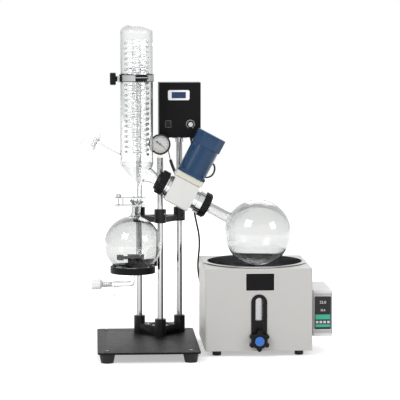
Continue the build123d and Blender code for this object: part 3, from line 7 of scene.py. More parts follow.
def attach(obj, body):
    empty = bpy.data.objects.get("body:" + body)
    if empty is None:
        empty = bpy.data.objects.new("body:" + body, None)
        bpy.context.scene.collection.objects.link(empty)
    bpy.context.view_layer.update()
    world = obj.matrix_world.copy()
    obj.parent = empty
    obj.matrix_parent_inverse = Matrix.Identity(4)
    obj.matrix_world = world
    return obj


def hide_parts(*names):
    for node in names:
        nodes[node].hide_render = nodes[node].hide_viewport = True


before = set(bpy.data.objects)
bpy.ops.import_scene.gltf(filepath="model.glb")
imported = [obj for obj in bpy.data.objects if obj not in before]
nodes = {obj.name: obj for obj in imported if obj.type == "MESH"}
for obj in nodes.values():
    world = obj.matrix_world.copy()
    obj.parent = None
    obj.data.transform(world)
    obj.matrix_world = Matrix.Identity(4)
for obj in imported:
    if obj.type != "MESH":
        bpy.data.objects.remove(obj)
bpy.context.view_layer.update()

# Camera, floor and lamps: a pale studio seen from a long way off, a little above the middle.
# The floor and the world are white to the camera and to glass and metal, and softer as light.
camera_place = Vector((-0.368, -5.8975, 1.058))
camera_right = atan2(108, 1800)
camera_down = atan2(170, sqrt(1800**2 + 108**2))
bpy.ops.object.camera_add(location=camera_place, rotation=(pi / 2 - camera_down, 0, -camera_right))
camera = bpy.context.object
camera.data.sensor_width = 36
camera.data.lens = 162
camera.data.clip_end = 60
bpy.context.scene.camera = camera
bpy.context.scene.view_settings.view_transform = "Standard"


class Wire:
    """A shader value on which sums and comparisons add their Math nodes."""

    def __init__(self, finish, socket):
        self.finish = finish
        self.socket = socket

    def math(self, operation, first, second=0.0):
        return self.finish.node("ShaderNodeMath", {"operation": operation}, {0: first, 1: second})

    def __add__(self, other):
        return self.math("ADD", self, other)

    def __sub__(self, other):
        return self.math("SUBTRACT", self, other)

    def __mul__(self, other):
        return self.math("MULTIPLY", self, other)

    def __truediv__(self, other):
        return self.math("DIVIDE", self, other)

    def __lt__(self, other):
        return self.math("LESS_THAN", self, other)

    def __gt__(self, other):
        return self.math("GREATER_THAN", self, other)

    def __abs__(self):
        return self.math("ABSOLUTE", self)

    def __rsub__(self, other):
        return self.math("SUBTRACT", other, self)

    __radd__ = __add__
    __rmul__ = __mul__


class Finish:
    """One material: a Principled shader and the nodes that feed it."""

    def __init__(self, name, colour, roughness, metallic=0.0, **constants):
        self.material = bpy.data.materials.new(name)
        self.material.use_nodes = True
        self.tree = self.material.node_tree
        self.shader = self.tree.nodes["Principled BSDF"]
        self.colour = (*colour, 1)
        self.feed("Base Color", self.colour)
        self.feed("Roughness", roughness)
        self.feed("Metallic", metallic)
        for socket, value in constants.items():
            self.feed(socket.replace("_", " "), value)

    def feed(self, socket, value):
        target = self.shader.inputs[socket]
        if isinstance(value, Wire):
            self.tree.links.new(value.socket, target)
        else:
            target.default_value = value

    def node(self, kind, settings, sockets, out=0):
        made = self.tree.nodes.new(kind)
        for key, value in settings.items():
            setattr(made, key, value)
        for key, value in sockets.items():
            if isinstance(value, Wire):
                self.tree.links.new(value.socket, made.inputs[key])
            else:
                made.inputs[key].default_value = value
        return Wire(self, made.outputs[out])

    def place(self):
        return self.node("ShaderNodeTexCoord", {}, {}, out="Object")

    def axis(self, name):
        return self.node("ShaderNodeSeparateXYZ", {}, {0: self.place()}, out=name)

    def noise(self, scale, detail=2.0, stretch=(1, 1, 1)):
        stretched = self.node("ShaderNodeMapping", {}, {0: self.place(), "Scale": stretch})
        return self.node("ShaderNodeTexNoise", {}, {"Vector": stretched, "Scale": scale, "Detail": detail}, out=0)

    def mix(self, factor, first, second):
        """A colour between two, by a factor that is a Wire."""
        sockets = {0: factor, 6: first, 7: second}
        return self.node("ShaderNodeMix", {"data_type": "RGBA"}, sockets, out=2)

    def edge(self, power):
        """One where the surface turns away from the viewer, nought where it faces them: the mask for painted dark rims.
        """
        facing = self.node("ShaderNodeLayerWeight", {}, {"Blend": 0.5}, out="Facing")
        return facing.math("POWER", facing, power)

    def bump(self, height, strength, distance):
        sockets = {"Height": height, "Strength": strength, "Distance": distance}
        self.feed("Normal", self.node("ShaderNodeBump", {}, sockets, out="Normal"))

    def worn(self, scale, spread, grain, grain_depth, shade=0.9):
        """Uneven gloss and colour over the surface, with a fine grain."""
        patches = self.noise(scale, 3)
        base = self.shader.inputs["Roughness"].default_value
        self.feed("Roughness", base + spread * (patches - 0.5))
        darker = tuple(c * shade for c in self.colour[:3]) + (1,)
        self.feed("Base Color", self.mix(patches, darker, self.colour))
        self.bump(self.noise(grain, 2), 0.4, grain_depth)
        return self


def dress(finish, *names):
    for name in names:
        slots = nodes[name].material_slots
        for slot in slots:
            slot.material = finish.material


def deselect():
    if bpy.context.object and bpy.context.object.mode != "OBJECT":
        bpy.ops.object.mode_set(mode="OBJECT")
    bpy.ops.object.select_all(action="DESELECT")


deselect()
bpy.ops.mesh.primitive_plane_add(size=14, location=(0, 0, 0))
floor = bpy.context.object
floor.name = "studio_floor"
floor_finish = Finish("studio_white", (0.80, 0.80, 0.80), 0.95)
light_path = floor_finish.tree.nodes.new("ShaderNodeLightPath")
seen = [Wire(floor_finish, light_path.outputs["Is %s Ray" % kind]) for kind in ("Camera", "Glossy", "Transmission")]
seen_at_all = seen[0].math("MAXIMUM", seen[0], seen[0].math("MAXIMUM", seen[1], seen[2] * 0.3))
across, away = floor_finish.axis("X"), floor_finish.axis("Y")
far_off = across.math("MINIMUM", (across * across + away * away) * 0.22, 1.0)
glow = floor_finish.tree.nodes.new("ShaderNodeEmission")
floor_finish.tree.links.new((seen_at_all * (0.42 + 0.58 * far_off)).socket, glow.inputs["Strength"])
lit = floor_finish.tree.nodes.new("ShaderNodeAddShader")
floor_finish.tree.links.new(floor_finish.shader.outputs[0], lit.inputs[0])
floor_finish.tree.links.new(glow.outputs[0], lit.inputs[1])
floor_finish.tree.links.new(lit.outputs[0], floor_finish.tree.nodes["Material Output"].inputs[0])
floor.data.materials.append(floor_finish.material)

world = bpy.data.worlds.new("studio_air")
bpy.context.scene.world = world
world.use_nodes = True
air = world.node_tree.nodes["Background"]
air_seen = world.node_tree.nodes.new("ShaderNodeLightPath")
air_level = world.node_tree.nodes.new("ShaderNodeMapRange")
air_level.inputs["To Min"].default_value = 0.5
air_level.inputs["To Max"].default_value = 1.0
added = None
for kind in ("Camera", "Transmission", "Glossy"):
    either = world.node_tree.nodes.new("ShaderNodeMath")
    either.operation = "MAXIMUM"
    world.node_tree.links.new(air_seen.outputs["Is %s Ray" % kind], either.inputs[0])
    if added:
        world.node_tree.links.new(added, either.inputs[1])
    added = either.outputs[0]
world.node_tree.links.new(added, air_level.inputs["Value"])
world.node_tree.links.new(air_level.outputs[0], air.inputs["Strength"])
air.inputs["Color"].default_value = (1, 1, 1, 1)

lamps = [
    ("key", (-2.6, -2.8, 3.2), 2.0, 95),
    ("fill", (3.2, -2.2, 2.2), 1.6, 40),
    ("back", (0.6, 3.0, 3.0), 2.4, 45),
]
for name, place, size, power in lamps:
    bpy.ops.object.light_add(type="AREA", location=place)
    lamp = bpy.context.object
    lamp.name = "lamp_" + name
    lamp.data.size = size
    lamp.data.energy = power
    lamp.rotation_euler = (Vector((0, 0, 0.5)) - Vector(place)).to_track_quat("-Z", "Y").to_euler()

# Mains cord: a black flexible cord that hangs from the control box's gland to the floor behind
# the bath, where what isn't needed lies in one coil of four turns, and ends in the plug.
cord_diameter = 0.007
coil_centre = Vector((0.1282, 0.2771, 0))
hang = [
    (-0.031, 0.200, 0.684),
    (-0.031, 0.200, 0.650),
    (-0.032, 0.203, 0.590),
    (-0.029, 0.208, 0.520),
    (-0.023, 0.214, 0.450),
    (-0.013, 0.221, 0.402),
    (-0.0035, 0.227, 0.360),
    (-0.002, 0.232, 0.318),
    (-0.006, 0.235, 0.281),
    (-0.008, 0.236, 0.245),
    (-0.002, 0.238, 0.204),
    (0.008, 0.241, 0.163),
    (0.018, 0.245, 0.118),
    (0.028, 0.251, 0.074),
    (0.040, 0.262, 0.034),
    (0.058, 0.280, 0.012),
    (0.082, 0.298, 0.004),
]
layers = [(0.0418, 0.0037), (0.0345, 0.0037), (0.0345, 0.0104), (0.0418, 0.0104)]
first_angle = 122
last_angle = 66
turn_steps = 16
coil_sweep = 360 * 4 + first_angle - last_angle
coil_points = []
for i in range(int(coil_sweep / 360 * turn_steps) + 1):
    swept = coil_sweep * i / int(coil_sweep / 360 * turn_steps)
    turn = swept / 360
    layer = min(int(turn), 3)
    ease = min(1, max(0, (turn - layer - 0.8) / 0.2)) if layer < 3 else 0
    following = layers[min(layer + 1, 3)]
    ring = layers[layer][0] * (1 - ease) + following[0] * ease
    height = layers[layer][1] * (1 - ease) + following[1] * ease
    angle = radians(first_angle - swept)
    coil_points.append((coil_centre.x + ring * cos(angle), coil_centre.y + ring * sin(angle), height))
tail = [(0.160, 0.305, 0.0085), (0.176, 0.298, 0.0075), (0.190, 0.2955, 0.010), (0.202, 0.294, 0.011)]


def round_cord(name, points, diameter):
    """A smooth cord on a curve with these points as its control points."""
    curve = bpy.data.curves.new(name, "CURVE")
    curve.dimensions = "3D"
    curve.bevel_depth = diameter / 2
    curve.bevel_resolution = 5
    curve.resolution_u = 8
    curve.use_fill_caps = True
    spline = curve.splines.new("NURBS")
    spline.points.add(len(points) - 1)
    for point, place in zip(spline.points, points):
        point.co = (*place, 1)
    spline.order_u = 3
    spline.use_endpoint_u = True
    cord = bpy.data.objects.new(name, curve)
    bpy.context.collection.objects.link(cord)
    return cord


cord_rubber = Finish("cord_rubber", (0.012, 0.012, 0.013), 0.55).worn(60, 0.15, 900, 0.00005)
mains = round_cord("mains_flex", hang + coil_points + tail, cord_diameter)
mains.data.materials.append(cord_rubber.material)
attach(mains, "stand")
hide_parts("mains_cord", "mains_coil")

# Materials that several pieces share: the stand's steel, chrome, castings and black plastics.
powder = Finish("black_powder_coat", (0.004, 0.004, 0.005), 0.45, Specular_IOR_Level=0.12).worn(30, 0.12, 1400, 0.00006, 0.85)
steel = Finish("polished_steel", (0.56, 0.57, 0.58), 0.16, 1.0).worn(25, 0.12, 600, 0.00002, 0.93)
chrome = Finish("chrome_plate", (0.66, 0.67, 0.68), 0.06, 1.0).worn(18, 0.06, 500, 0.00001, 0.95)
casting = Finish("black_casting", (0.007, 0.007, 0.008), 0.32, Specular_IOR_Level=0.25).worn(24, 0.2, 700, 0.0002, 0.75)
white_paint = Finish("white_paint", (0.64, 0.64, 0.62), 0.28).worn(12, 0.12, 420, 0.00008, 0.96)
black_plastic = Finish("moulded_black", (0.005, 0.005, 0.006), 0.36, Specular_IOR_Level=0.16).worn(35, 0.18, 1500, 0.00006, 0.8)
gloss_black = Finish("gloss_black", (0.005, 0.005, 0.006), 0.16, Specular_IOR_Level=0.3).worn(20, 0.1, 900, 0.00001, 0.85)
print_pale = Finish("pale_rubber", (0.55, 0.54, 0.50), 0.5)
brass = Finish("plated_brass", (0.80, 0.74, 0.62), 0.2, 1.0).worn(40, 0.12, 700, 0.00002, 0.9)
fluoro = Finish("white_fluoropolymer", (0.86, 0.86, 0.84), 0.35).worn(50, 0.12, 600, 0.00004, 0.96)
blue_paint = Finish("blue_enamel", (0.008, 0.042, 0.108), 0.24, Specular_IOR_Level=0.3).worn(14, 0.16, 380, 0.00012, 0.82)
# Painted shade: the columns get a darker copy of the chrome, so that their reflections read as mid grey.
tube_steel = Finish("polished_tube", (0.45, 0.455, 0.46), 0.08, 1.0).worn(18, 0.06, 500, 0.00001, 0.95)
# Painted reflection: steel, chrome and the columns' steel darken to near black at their rims, where the surface turns
# from the viewer, standing in for dark surroundings reflected there.
for metal, shade in ((steel, 0.16), (chrome, 0.06), (tube_steel, 0.04)):
    metal.feed("Base Color", metal.mix(metal.edge(0.9), metal.colour, (shade, shade, shade * 1.05, 1)))
foot_rubber = Finish("foot_rubber", (0.012, 0.012, 0.013), 0.5, Specular_IOR_Level=0.3).worn(50, 0.15, 900, 0.0001, 0.85)
# Painted reflection: the glass darkens to near black at its rims, where it turns from the viewer, standing in for dark
# surroundings seen in it.
glass = Finish("clear_glass", (0.985, 0.99, 0.99), 0.0, IOR=1.47, Transmission_Weight=1.0)
glass.feed("Base Color", glass.mix(glass.edge(2), (0.95, 0.955, 0.957, 1), (0.05, 0.06, 0.07, 1)))
# Painted shade: the flasks' glass is mid grey across its body and a darker grey at its rims, standing in for the
# surroundings seen in and through it.
flask_glass = Finish("flask_glass", (0.985, 0.99, 0.99), 0.0, IOR=1.47, Transmission_Weight=1.0)
flask_glass.feed("Base Color", flask_glass.mix(flask_glass.edge(2), (0.668, 0.672, 0.668, 1), (0.48, 0.49, 0.495, 1)))
# Painted reflection: the windings' glass darkens to dark grey at its rims, standing in for dark surroundings seen in
# it.
fine_glass = Finish("fine_glass", (0.99, 0.99, 0.99), 0.0, IOR=1.47, Transmission_Weight=1.0)
fine_glass.feed("Base Color", fine_glass.mix(fine_glass.edge(2), (0.99, 0.99, 0.99, 1), (0.25, 0.27, 0.28, 1)))
lens_clear = Finish("lens_clear", (1, 1, 1), 0.03, Alpha=0.03)

dress(powder, "base_plate", "support_ring", "control_box")
dress(foot_rubber, "base_feet", "bath_feet", "pot_gasket")
dress(casting, "base_bracket", "mid_bracket", "head_clamp")
dress(tube_steel, "columns", "joint_clamp", "joint_clamp_screw")
dress(chrome, "stand_bolts", "box_collar", "spindle", "seal_flange", "gauge_case")
dress(steel, "spindle_bearings", "bevel_gear", "drive_pinion")
dress(brass, "gauge_fitting")
dress(black_plastic, "gauge_pointer", "cable_glands", "mains_plug", "flask_nut", "vapour_nut", "clamp_knob", "ring_screw")
dress(black_plastic, "lift_knob", "lift_plate", "slot_trim")
dress(gloss_black, "power_rocker", "controller_panel")
dress(steel, "speed_knob", "condenser_clamp")
dress(white_paint, "head_housing")
bezel_white = Finish("display_surround", (0.90, 0.90, 0.90), 0.2)
dress(bezel_white, "display_bezel")
adapter_paint = Finish("cream_enamel", (0.60, 0.59, 0.50), 0.3).worn(14, 0.12, 420, 0.00008, 0.95)
dress(adapter_paint, "motor_adapter")
dress(blue_paint, "motor_body", "motor_cap")
dress(fluoro, "feed_tap", "drain_knob", "shaft_seal")
dress(lens_clear, "gauge_lens")
dress(glass, "vapour_duct", "rotating_flask", "receiving_flask", "condenser", "condenser_coil")
bath_paint = Finish("bath_sheet", (0.49, 0.48, 0.465), 0.42).worn(6, 0.1, 300, 0.00005, 0.97)
dress(bath_paint, "bath_casing")
pot_steel = Finish("spun_steel", (0.42, 0.42, 0.43), 0.26, 1.0).worn(10, 0.12, 120, 0.00001, 0.94)
dress(pot_steel, "pot", "heater")
shell_paint = Finish("shell_paint", (0.66, 0.66, 0.68), 0.35).worn(12, 0.14, 500, 0.00008, 0.9)
dress(shell_paint, "controller_shell")
key_plastic = Finish("key_plastic", (0.55, 0.57, 0.60), 0.4).worn(60, 0.12, 900, 0.00004, 0.9)
dress(key_plastic, "key_1", "key_2", "key_3", "key_4")
dress(cord_rubber, "motor_lead")

def extent(name):
    """Low and high corners of a node."""
    points = [vertex.co for vertex in nodes[name].data.vertices]
    return [Vector([pick(point[i] for point in points) for i in range(3)]) for pick in (min, max)]


# Glass: blown borosilicate, 3 mm thick. Each piece is an outline spun round its own axis, and
# arms and tubes are fused on before the inside is taken out, as a glassblower joins them.
tilt = radians(28)
head_origin = Vector((0.181, 0.0425, 0.387))
along = Vector((-cos(tilt), 0, sin(tilt)))
upward = Vector((sin(tilt), 0, cos(tilt)))
wall = 0.003


def standing(origin, axis=(0, 0, 1), side=(1, 0, 0)):
    """The place of a piece whose own Z lies on the axis."""
    z = Vector(axis).normalized()
    y = z.cross(Vector(side)).normalized()
    x = y.cross(z)
    place = Matrix((x, y, z)).transposed().to_4x4()
    place.translation = Vector(origin)
    return place


def arc(x, y, radius, start, end, steps=16):
    angles = [radians(start + (end - start) * i / steps) for i in range(steps + 1)]
    return [(x + radius * cos(a), y + radius * sin(a)) for a in angles]


def spun(name, outline, place, steps=96):
    """A closed outline of radius and height points, spun round its own Z and put in its place."""
    deselect()
    curve = bpy.data.curves.new(name, "CURVE")
    curve.dimensions = "3D"
    line = curve.splines.new("POLY")
    line.points.add(len(outline) - 1)
    for point, (radius, height) in zip(line.points, outline):
        point.co = (radius, 0, height, 1)
    line.use_cyclic_u = True
    made = bpy.data.objects.new(name, curve)
    bpy.context.collection.objects.link(made)
    bpy.context.view_layer.objects.active = made
    made.select_set(True)
    bpy.ops.object.convert(target="MESH")
    bpy.ops.object.mode_set(mode="EDIT")
    bpy.ops.mesh.select_all(action="SELECT")
    bpy.ops.mesh.spin(steps=steps, angle=2 * pi, center=(0, 0, 0), axis=(0, 0, 1))
    bpy.ops.mesh.select_all(action="SELECT")
    bpy.ops.mesh.remove_doubles(threshold=0.00002)
    bpy.ops.mesh.dissolve_degenerate(threshold=0.00001)
    bpy.ops.mesh.normals_make_consistent(inside=False)
    bpy.ops.object.mode_set(mode="OBJECT")
    made.data.transform(place)
    made.data.update()
    return made


def smooth(piece, angle=35):
    deselect()
    bpy.context.view_layer.objects.active = piece
    piece.select_set(True)
    bpy.ops.object.shade_smooth_by_angle(angle=radians(angle))


def carve(body, tools, operation):
    """Fuse the tools with the body, or cut them out of it."""
    for tool in tools:
        deselect()
        bpy.context.view_layer.objects.active = body
        cut = body.modifiers.new("carve", "BOOLEAN")
        cut.operation = operation
        cut.solver = "EXACT"
        cut.object = tool
        bpy.ops.object.modifier_apply(modifier=cut.name)
        bpy.data.objects.remove(tool, do_unlink=True)
    return body


def softened(name, width, body):
    """A copy of a CAD piece with its sharp edges rounded."""
    source = nodes[name]
    made = source.copy()
    made.data = source.data.copy()
    made.name = name + "_soft"
    bpy.context.collection.objects.link(made)
    deselect()
    bpy.context.view_layer.objects.active = made
    made.select_set(True)
    bpy.ops.object.mode_set(mode="EDIT")
    bpy.ops.mesh.select_all(action="SELECT")
    bpy.ops.mesh.remove_doubles(threshold=0.00002)
    bpy.ops.object.mode_set(mode="OBJECT")
    rounding = made.modifiers.new("rounding", "BEVEL")
    rounding.width = width
    rounding.segments = 3
    rounding.angle_limit = radians(32)
    smooth(made)
    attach(made, body)
    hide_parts(name)
    return made


def show(piece, finish, body, slot, *replaced):
    piece.data.materials.clear()
    piece.data.materials.append(finish.material)
    smooth(piece)
    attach(piece, body)
    if replaced:
        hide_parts(*replaced)
    return piece


def blown(ball, neck, blend, neck_top):
    """The outside of a round flask and the start of its neck, from the bottom up."""
    hub_x = neck + blend
    hub_y = sqrt((ball + blend) ** 2 - hub_x**2)
    turn_angle = degrees(atan2(hub_y, hub_x))
    outline = arc(0, 0, ball, -90, turn_angle, 40)
    outline += arc(hub_x, hub_y, blend, 180 + turn_angle, 180, 10)[1:]
    return outline + [(neck, neck_top)]


def flask_outlines(ball, neck, blend, neck_top):
    """Outside and inside of the wall, from the bottom up."""
    hub_x = neck + blend
    hub_y = sqrt((ball + blend) ** 2 - hub_x**2)
    turn_angle = degrees(atan2(hub_y, hub_x))
    outside = blown(ball, neck, blend, neck_top)
    inside = arc(0, 0, ball - wall, -90, turn_angle, 40)
    inside += arc(hub_x, hub_y, blend + wall, 180 + turn_angle, 180, 10)[1:]
    return outside, inside + [(neck - wall, neck_top)]


for name, width, slot in (
    ("motor_cap", 0.0016, "motor_blue"),
    ("head_housing", 0.0012, "housing_white"),
    ("motor_adapter", 0.0010, "cream_plastic"),
    ("control_box", 0.0008, "box_paint"),
    ("base_plate", 0.0008, "powder_coat"),
    ("mid_bracket", 0.0010, "alloy"),
    ("base_bracket", 0.0010, "alloy"),
):
    softened(name, width, "stand")

outside, inside = flask_outlines(0.1115, 0.020, 0.012, 0.1923)
flange_rim = arc(0.0253, 0.1940, 0.0017, -90, 90, 8)
flask = spun(
    "evaporating_flask",
    outside + flange_rim + [(0.017, 0.1957)] + inside[::-1][1:],
    standing(head_origin, along, upward),
    128,
)
show(flask, flask_glass, "turning", "glass", "rotating_flask")

receiver_lean = radians(5.5)
receiver_up = Vector((sin(receiver_lean), 0, cos(receiver_lean)))
joint_place = Vector((-0.221, 0.0425, 0.500))
receiver_place = joint_place - receiver_up * 0.1507
receiver_stand = standing(receiver_place, receiver_up)
outside, inside = flask_outlines(0.095, 0.015, 0.014, 0.1352)
cup_outside = arc(0.0213, 0.1417, 0.002, -60, 0, 4) + [(0.0233, 0.1465)] + arc(0.0221, 0.1465, 0.0012, 0, 90, 4)
cup_inside = arc(0, 0.1507, 0.0193, -9, -47, 10)
receiver = spun("collecting_flask", outside + cup_outside + cup_inside + inside[::-1], receiver_stand, 128)


def glass_tube(name, points, radius):
    """A solid round rod on a smooth line, used for tubes and for the bores in them."""
    rod = round_cord(name, points, 2 * radius)
    rod.data.bevel_resolution = 8
    deselect()
    bpy.context.view_layer.objects.active = rod
    rod.select_set(True)
    bpy.ops.object.convert(target="MESH")
    bpy.ops.object.mode_set(mode="EDIT")
    bpy.ops.mesh.select_all(action="SELECT")
    bpy.ops.mesh.remove_doubles(threshold=0.00002)
    bpy.ops.mesh.normals_make_consistent(inside=False)
    bpy.ops.object.mode_set(mode="OBJECT")
    return rod


drain_z = 0.218
drain_route = [
    (receiver_place.x, 0.0425, 0.2585),
    (receiver_place.x, 0.0425, 0.240),
    (receiver_place.x, 0.0425, 0.2185),
    (receiver_place.x - 0.020, 0.0425, drain_z),
    (-0.285, 0.0425, drain_z),
]
left = (-1, 0, 0)
drain = glass_tube("drain", drain_route, 0.0095)
barrel_outline = [(0, 0), (0.0094, 0), (0.0099, 0.0010), (0.0099, 0.056), (0.0092, 0.057), (0, 0.057)]
drain_barrel = spun("drain_barrel", barrel_outline, standing((-0.279, 0.0425, drain_z), left, (0, 0, 1)), 48)
nozzle_outline = [(0, 0), (0.0066, 0), (0.0060, 0.040), (0.0068, 0.042), (0.0056, 0.050), (0, 0.050)]
drain_nozzle = spun("drain_nozzle", nozzle_outline, standing((-0.3003, 0.0425, drain_z), (0, 0, -1)), 40)
carve(drain, [drain_barrel, drain_nozzle], "UNION")
drain_bores = [
    glass_tube("drain_bore", [*drain_route[:-1], (-0.2905, 0.0425, drain_z)], 0.0068),
    spun("plug_bore", [(0, 0), (0.0072, 0), (0.0072, 0.05), (0, 0.05)], standing((-0.290, 0.0425, drain_z), left, (0, 0, 1)), 48),
    spun("nozzle_bore", [(0, 0), (0.0040, 0), (0.0040, 0.06), (0, 0.06)], standing((-0.3003, 0.0425, drain_z), (0, 0, -1)), 40),
]
carve(drain, drain_bores, "DIFFERENCE")
show(receiver, flask_glass, "stand", "glass", "receiving_flask")
show(drain, glass, "stand", "glass")

# Condenser: one glass jacket with the vapour arm, the feed arm and its tap barrel fused on.
# Inside hang two windings of thin tube, a wide one round a tight one, fixed at the dome.
condenser_foot = Vector((-0.221, 0.0425, 0))
jacket_outside = [(0.0140, 0.5047), (0.0140, 0.545), (0.0525, 0.6100)]
jacket_outside += arc(0.0440, 0.6190, 0.0120, -36, 0, 6)[1:]
bead = [(0.05375 + 0.0012 * sin(pi * i / 6), 0.6190 + 0.004 * (i / 6 - 0.5)) for i in range(7)]
dome_outside = [(0.05375 * sin(radians(a)) ** 0.8, 1.048 + 0.030 * cos(radians(a)) ** 0.9) for a in range(90, -1, -6)]
ball = arc(0, 0.500, 0.019, -56, 0, 12)
joint_foot = ball + [(0.021, 0.5000), (0.0212, 0.5024), (0.021, 0.5047)]
outer_line = [(0, ball[0][1])] + joint_foot + jacket_outside[:3] + bead + dome_outside
jacket = spun("condenser_jacket", outer_line, standing(condenser_foot), 128)
arm_outline = [(0, 0.3636), (0.0262, 0.3636), (0.027, 0.3645), (0.027, 0.3672), (0.0262, 0.368), (0.019, 0.369)]
arm_outline += [(0.019, 0.3856), (0.0205, 0.396), (0.025, 0.412), (0.031, 0.430), (0, 0.430)]
head_stand = standing(head_origin, along, upward)
vapour_arm = spun("vapour_arm", arm_outline, head_stand, 96)
valve = Vector((-0.3572, 0.0425, 0.6907))
port = Vector((-0.27175, 0.0425, 0.639))
feed_way = (valve - port).normalized()
tap_way = Vector((feed_way.z, 0, -feed_way.x))
feed_length = (valve - port).length
feed_outline = [(0, -0.004), (0.0125, -0.004), (0.011, 0.004), (0.011, feed_length), (0, feed_length)]
feed_arm = spun("feed_arm", feed_outline, standing(port, feed_way, (0, 1, 0)), 64)
tap_outline = [(0, -0.0157), (0.0105, -0.0157), (0.0109, -0.0145), (0.0105, -0.013), (0.0105, 0.012), (0.0101, 0.013), (0, 0.013)]
tap_barrel = spun("tap_barrel", tap_outline, standing(valve, tap_way, (0, 1, 0)), 64)
hose_route = [(-0.360, 0.0425, 0.694), (-0.371, 0.0425, 0.6995), (-0.386, 0.0425, 0.7055), (-0.399, 0.0425, 0.7035)]
hose_route += [(-0.409, 0.0425, 0.6930), (-0.4125, 0.0425, 0.683)]
outlet = glass_tube("outlet", hose_route, 0.004)
vent = glass_tube("vent", [(-0.170, 0.0425, 1.013), (-0.162, 0.0425, 1.013), (-0.1515, 0.0425, 1.013)], 0.004)
carve(jacket, [vapour_arm, feed_arm, tap_barrel, outlet, vent], "UNION")
inner_line = [(0, 0.479), (0.0105, 0.479), (0.0108, 0.506), (0.0110, 0.545), (0.0500, 0.6115), (0.05075, 0.617)]
inner_line += [(0.05075 * sin(radians(a)) ** 0.8, 1.0475 + 0.0275 * cos(radians(a)) ** 0.9) for a in range(90, -1, -6)]
arm_inside = [(0, 0.362), (0.016, 0.362), (0.016, 0.3865), (0.0175, 0.397), (0.0222, 0.412), (0.0285, 0.431), (0, 0.431)]
hollows = [
    spun("jacket_hollow", inner_line, standing(condenser_foot), 128),
    spun("arm_hollow", arm_inside, head_stand, 96),
    spun("feed_hollow", [(0, -0.012), (0.009, -0.012), (0.009, feed_length - 0.0115), (0, feed_length - 0.0115)], standing(port, feed_way, (0, 1, 0)), 64),
    spun("tap_hollow", [(0, -0.02), (0.0066, -0.02), (0.0066, 0.02), (0, 0.02)], standing(valve, tap_way, (0, 1, 0)), 48),
]
carve(jacket, hollows, "DIFFERENCE")
show(jacket, glass, "stand", "glass", "condenser")


def winding(name, ring, tube, pitch, bottom, top, steps):
    """A tube wound upwards round the condenser's axis."""
    count = int((top - bottom) / pitch * steps)
    points = []
    for i in range(count + 1):
        angle = 2 * pi * i / steps
        place = (condenser_foot.x + ring * cos(angle), 0.0425 + ring * sin(angle), bottom + pitch * i / steps)
        points.append(place)
    curve = bpy.data.curves.new(name, "CURVE")
    curve.dimensions = "3D"
    curve.bevel_depth = tube
    curve.bevel_resolution = 3
    curve.use_fill_caps = True
    line = curve.splines.new("POLY")
    line.points.add(count)
    for point, place in zip(line.points, points):
        point.co = (*place, 1)
    coil = bpy.data.objects.new(name, curve)
    bpy.context.collection.objects.link(coil)
    deselect()
    bpy.context.view_layer.objects.active = coil
    coil.select_set(True)
    bpy.ops.object.convert(target="MESH")
    return coil


wide = winding("wide_winding", 0.037, 0.0048, 0.017, 0.648, 1.024, 28)
tight = winding("tight_winding", 0.0135, 0.0028, 0.0072, 0.640, 1.028, 18)
show(wide, fine_glass, "stand", "glass", "condenser_coil")
show(tight, fine_glass, "stand", "glass")

# Rubber liner between the condenser and its strap, a little higher than the strap.
strap_low, strap_high = extent("condenser_clamp")
strap_level = 0.902
liner_outline = [(0.0540, -0.0122), (0.0566, -0.0122), (0.0566, 0.0122), (0.0540, 0.0122)]
liner = spun("strap_liner", liner_outline, standing(condenser_foot + Vector((0, 0, strap_level))), 96)
show(liner, black_plastic, "stand", "black_plastic")

# Pale pad on the support ring's lip, under the receiving flask.
pad_outline = [(0.0626, 0), (0.0676, 0), (0.0676, 0.0042), (0.0626, 0.0030)]
pad = spun("ring_pad", pad_outline, standing((receiver_place.x, receiver_place.y, 0.2723)), 96)
show(pad, print_pale, "ring", "cream_plastic")

bpy.context.scene.cycles.max_bounces = 24
bpy.context.scene.cycles.transmission_bounces = 24
bpy.context.scene.cycles.transparent_max_bounces = 24

# Marks and trim on the fronts: thin plates that lie on the CAD pieces' faces.
def plate(name, finish, centre, size, body, bevel=0.0, turn=0.0):
    """A thin box in its place, turned about Y, with its edges rounded."""
    deselect()
    bpy.ops.mesh.primitive_cube_add(size=1)
    made = bpy.context.object
    made.name = name
    place = Matrix.Translation(centre) @ Matrix.Rotation(turn, 4, "Y")
    made.data.transform(place @ Matrix.Diagonal((*size, 1)))
    if bevel:
        rounding = made.modifiers.new("rounding", "BEVEL")
        rounding.width = bevel
        rounding.segments = 3
    made.data.materials.append(finish.material)
    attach(made, body)
    return made


def writing(name, finish, text, centre, height, body):
    """Plain figures that stand on a face towards the viewer."""
    deselect()
    bpy.ops.object.text_add()
    made = bpy.context.object
    made.name = name
    made.data.body = text
    made.data.size = height
    made.data.extrude = 0.0001
    made.data.align_x = "CENTER"
    made.data.align_y = "CENTER"
    bpy.ops.object.convert(target="MESH")
    made.data.transform(Matrix.Translation(centre) @ Matrix.Rotation(pi / 2, 4, "X"))
    made.data.materials.clear()
    made.data.materials.append(finish.material)
    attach(made, body)
    return made


print_white = Finish("printed_white", (0.75, 0.75, 0.75), 0.5)
print_grey = Finish("printed_grey", (0.30, 0.30, 0.31), 0.5)
dial_white = Finish("dial_enamel", (0.92, 0.92, 0.90), 0.4)
lcd_blue = Finish("display_blue", (0.016, 0.045, 0.12), 0.12, Specular_IOR_Level=0.3)
box_low, box_high = extent("control_box")
bezel_low, bezel_high = extent("display_bezel")
bezel_middle = (bezel_low + bezel_high) / 2


def rounded(width, height, corner):
    """A rectangle's outline with round corners, round the origin."""
    x, y = width / 2 - corner, height / 2 - corner
    outline = []
    for turn, (sx, sy) in zip((0, 90, 180, 270), ((1, 1), (-1, 1), (-1, -1), (1, -1))):
        outline += arc(sx * x, sy * y, corner, turn, turn + 90, 8)
    return outline


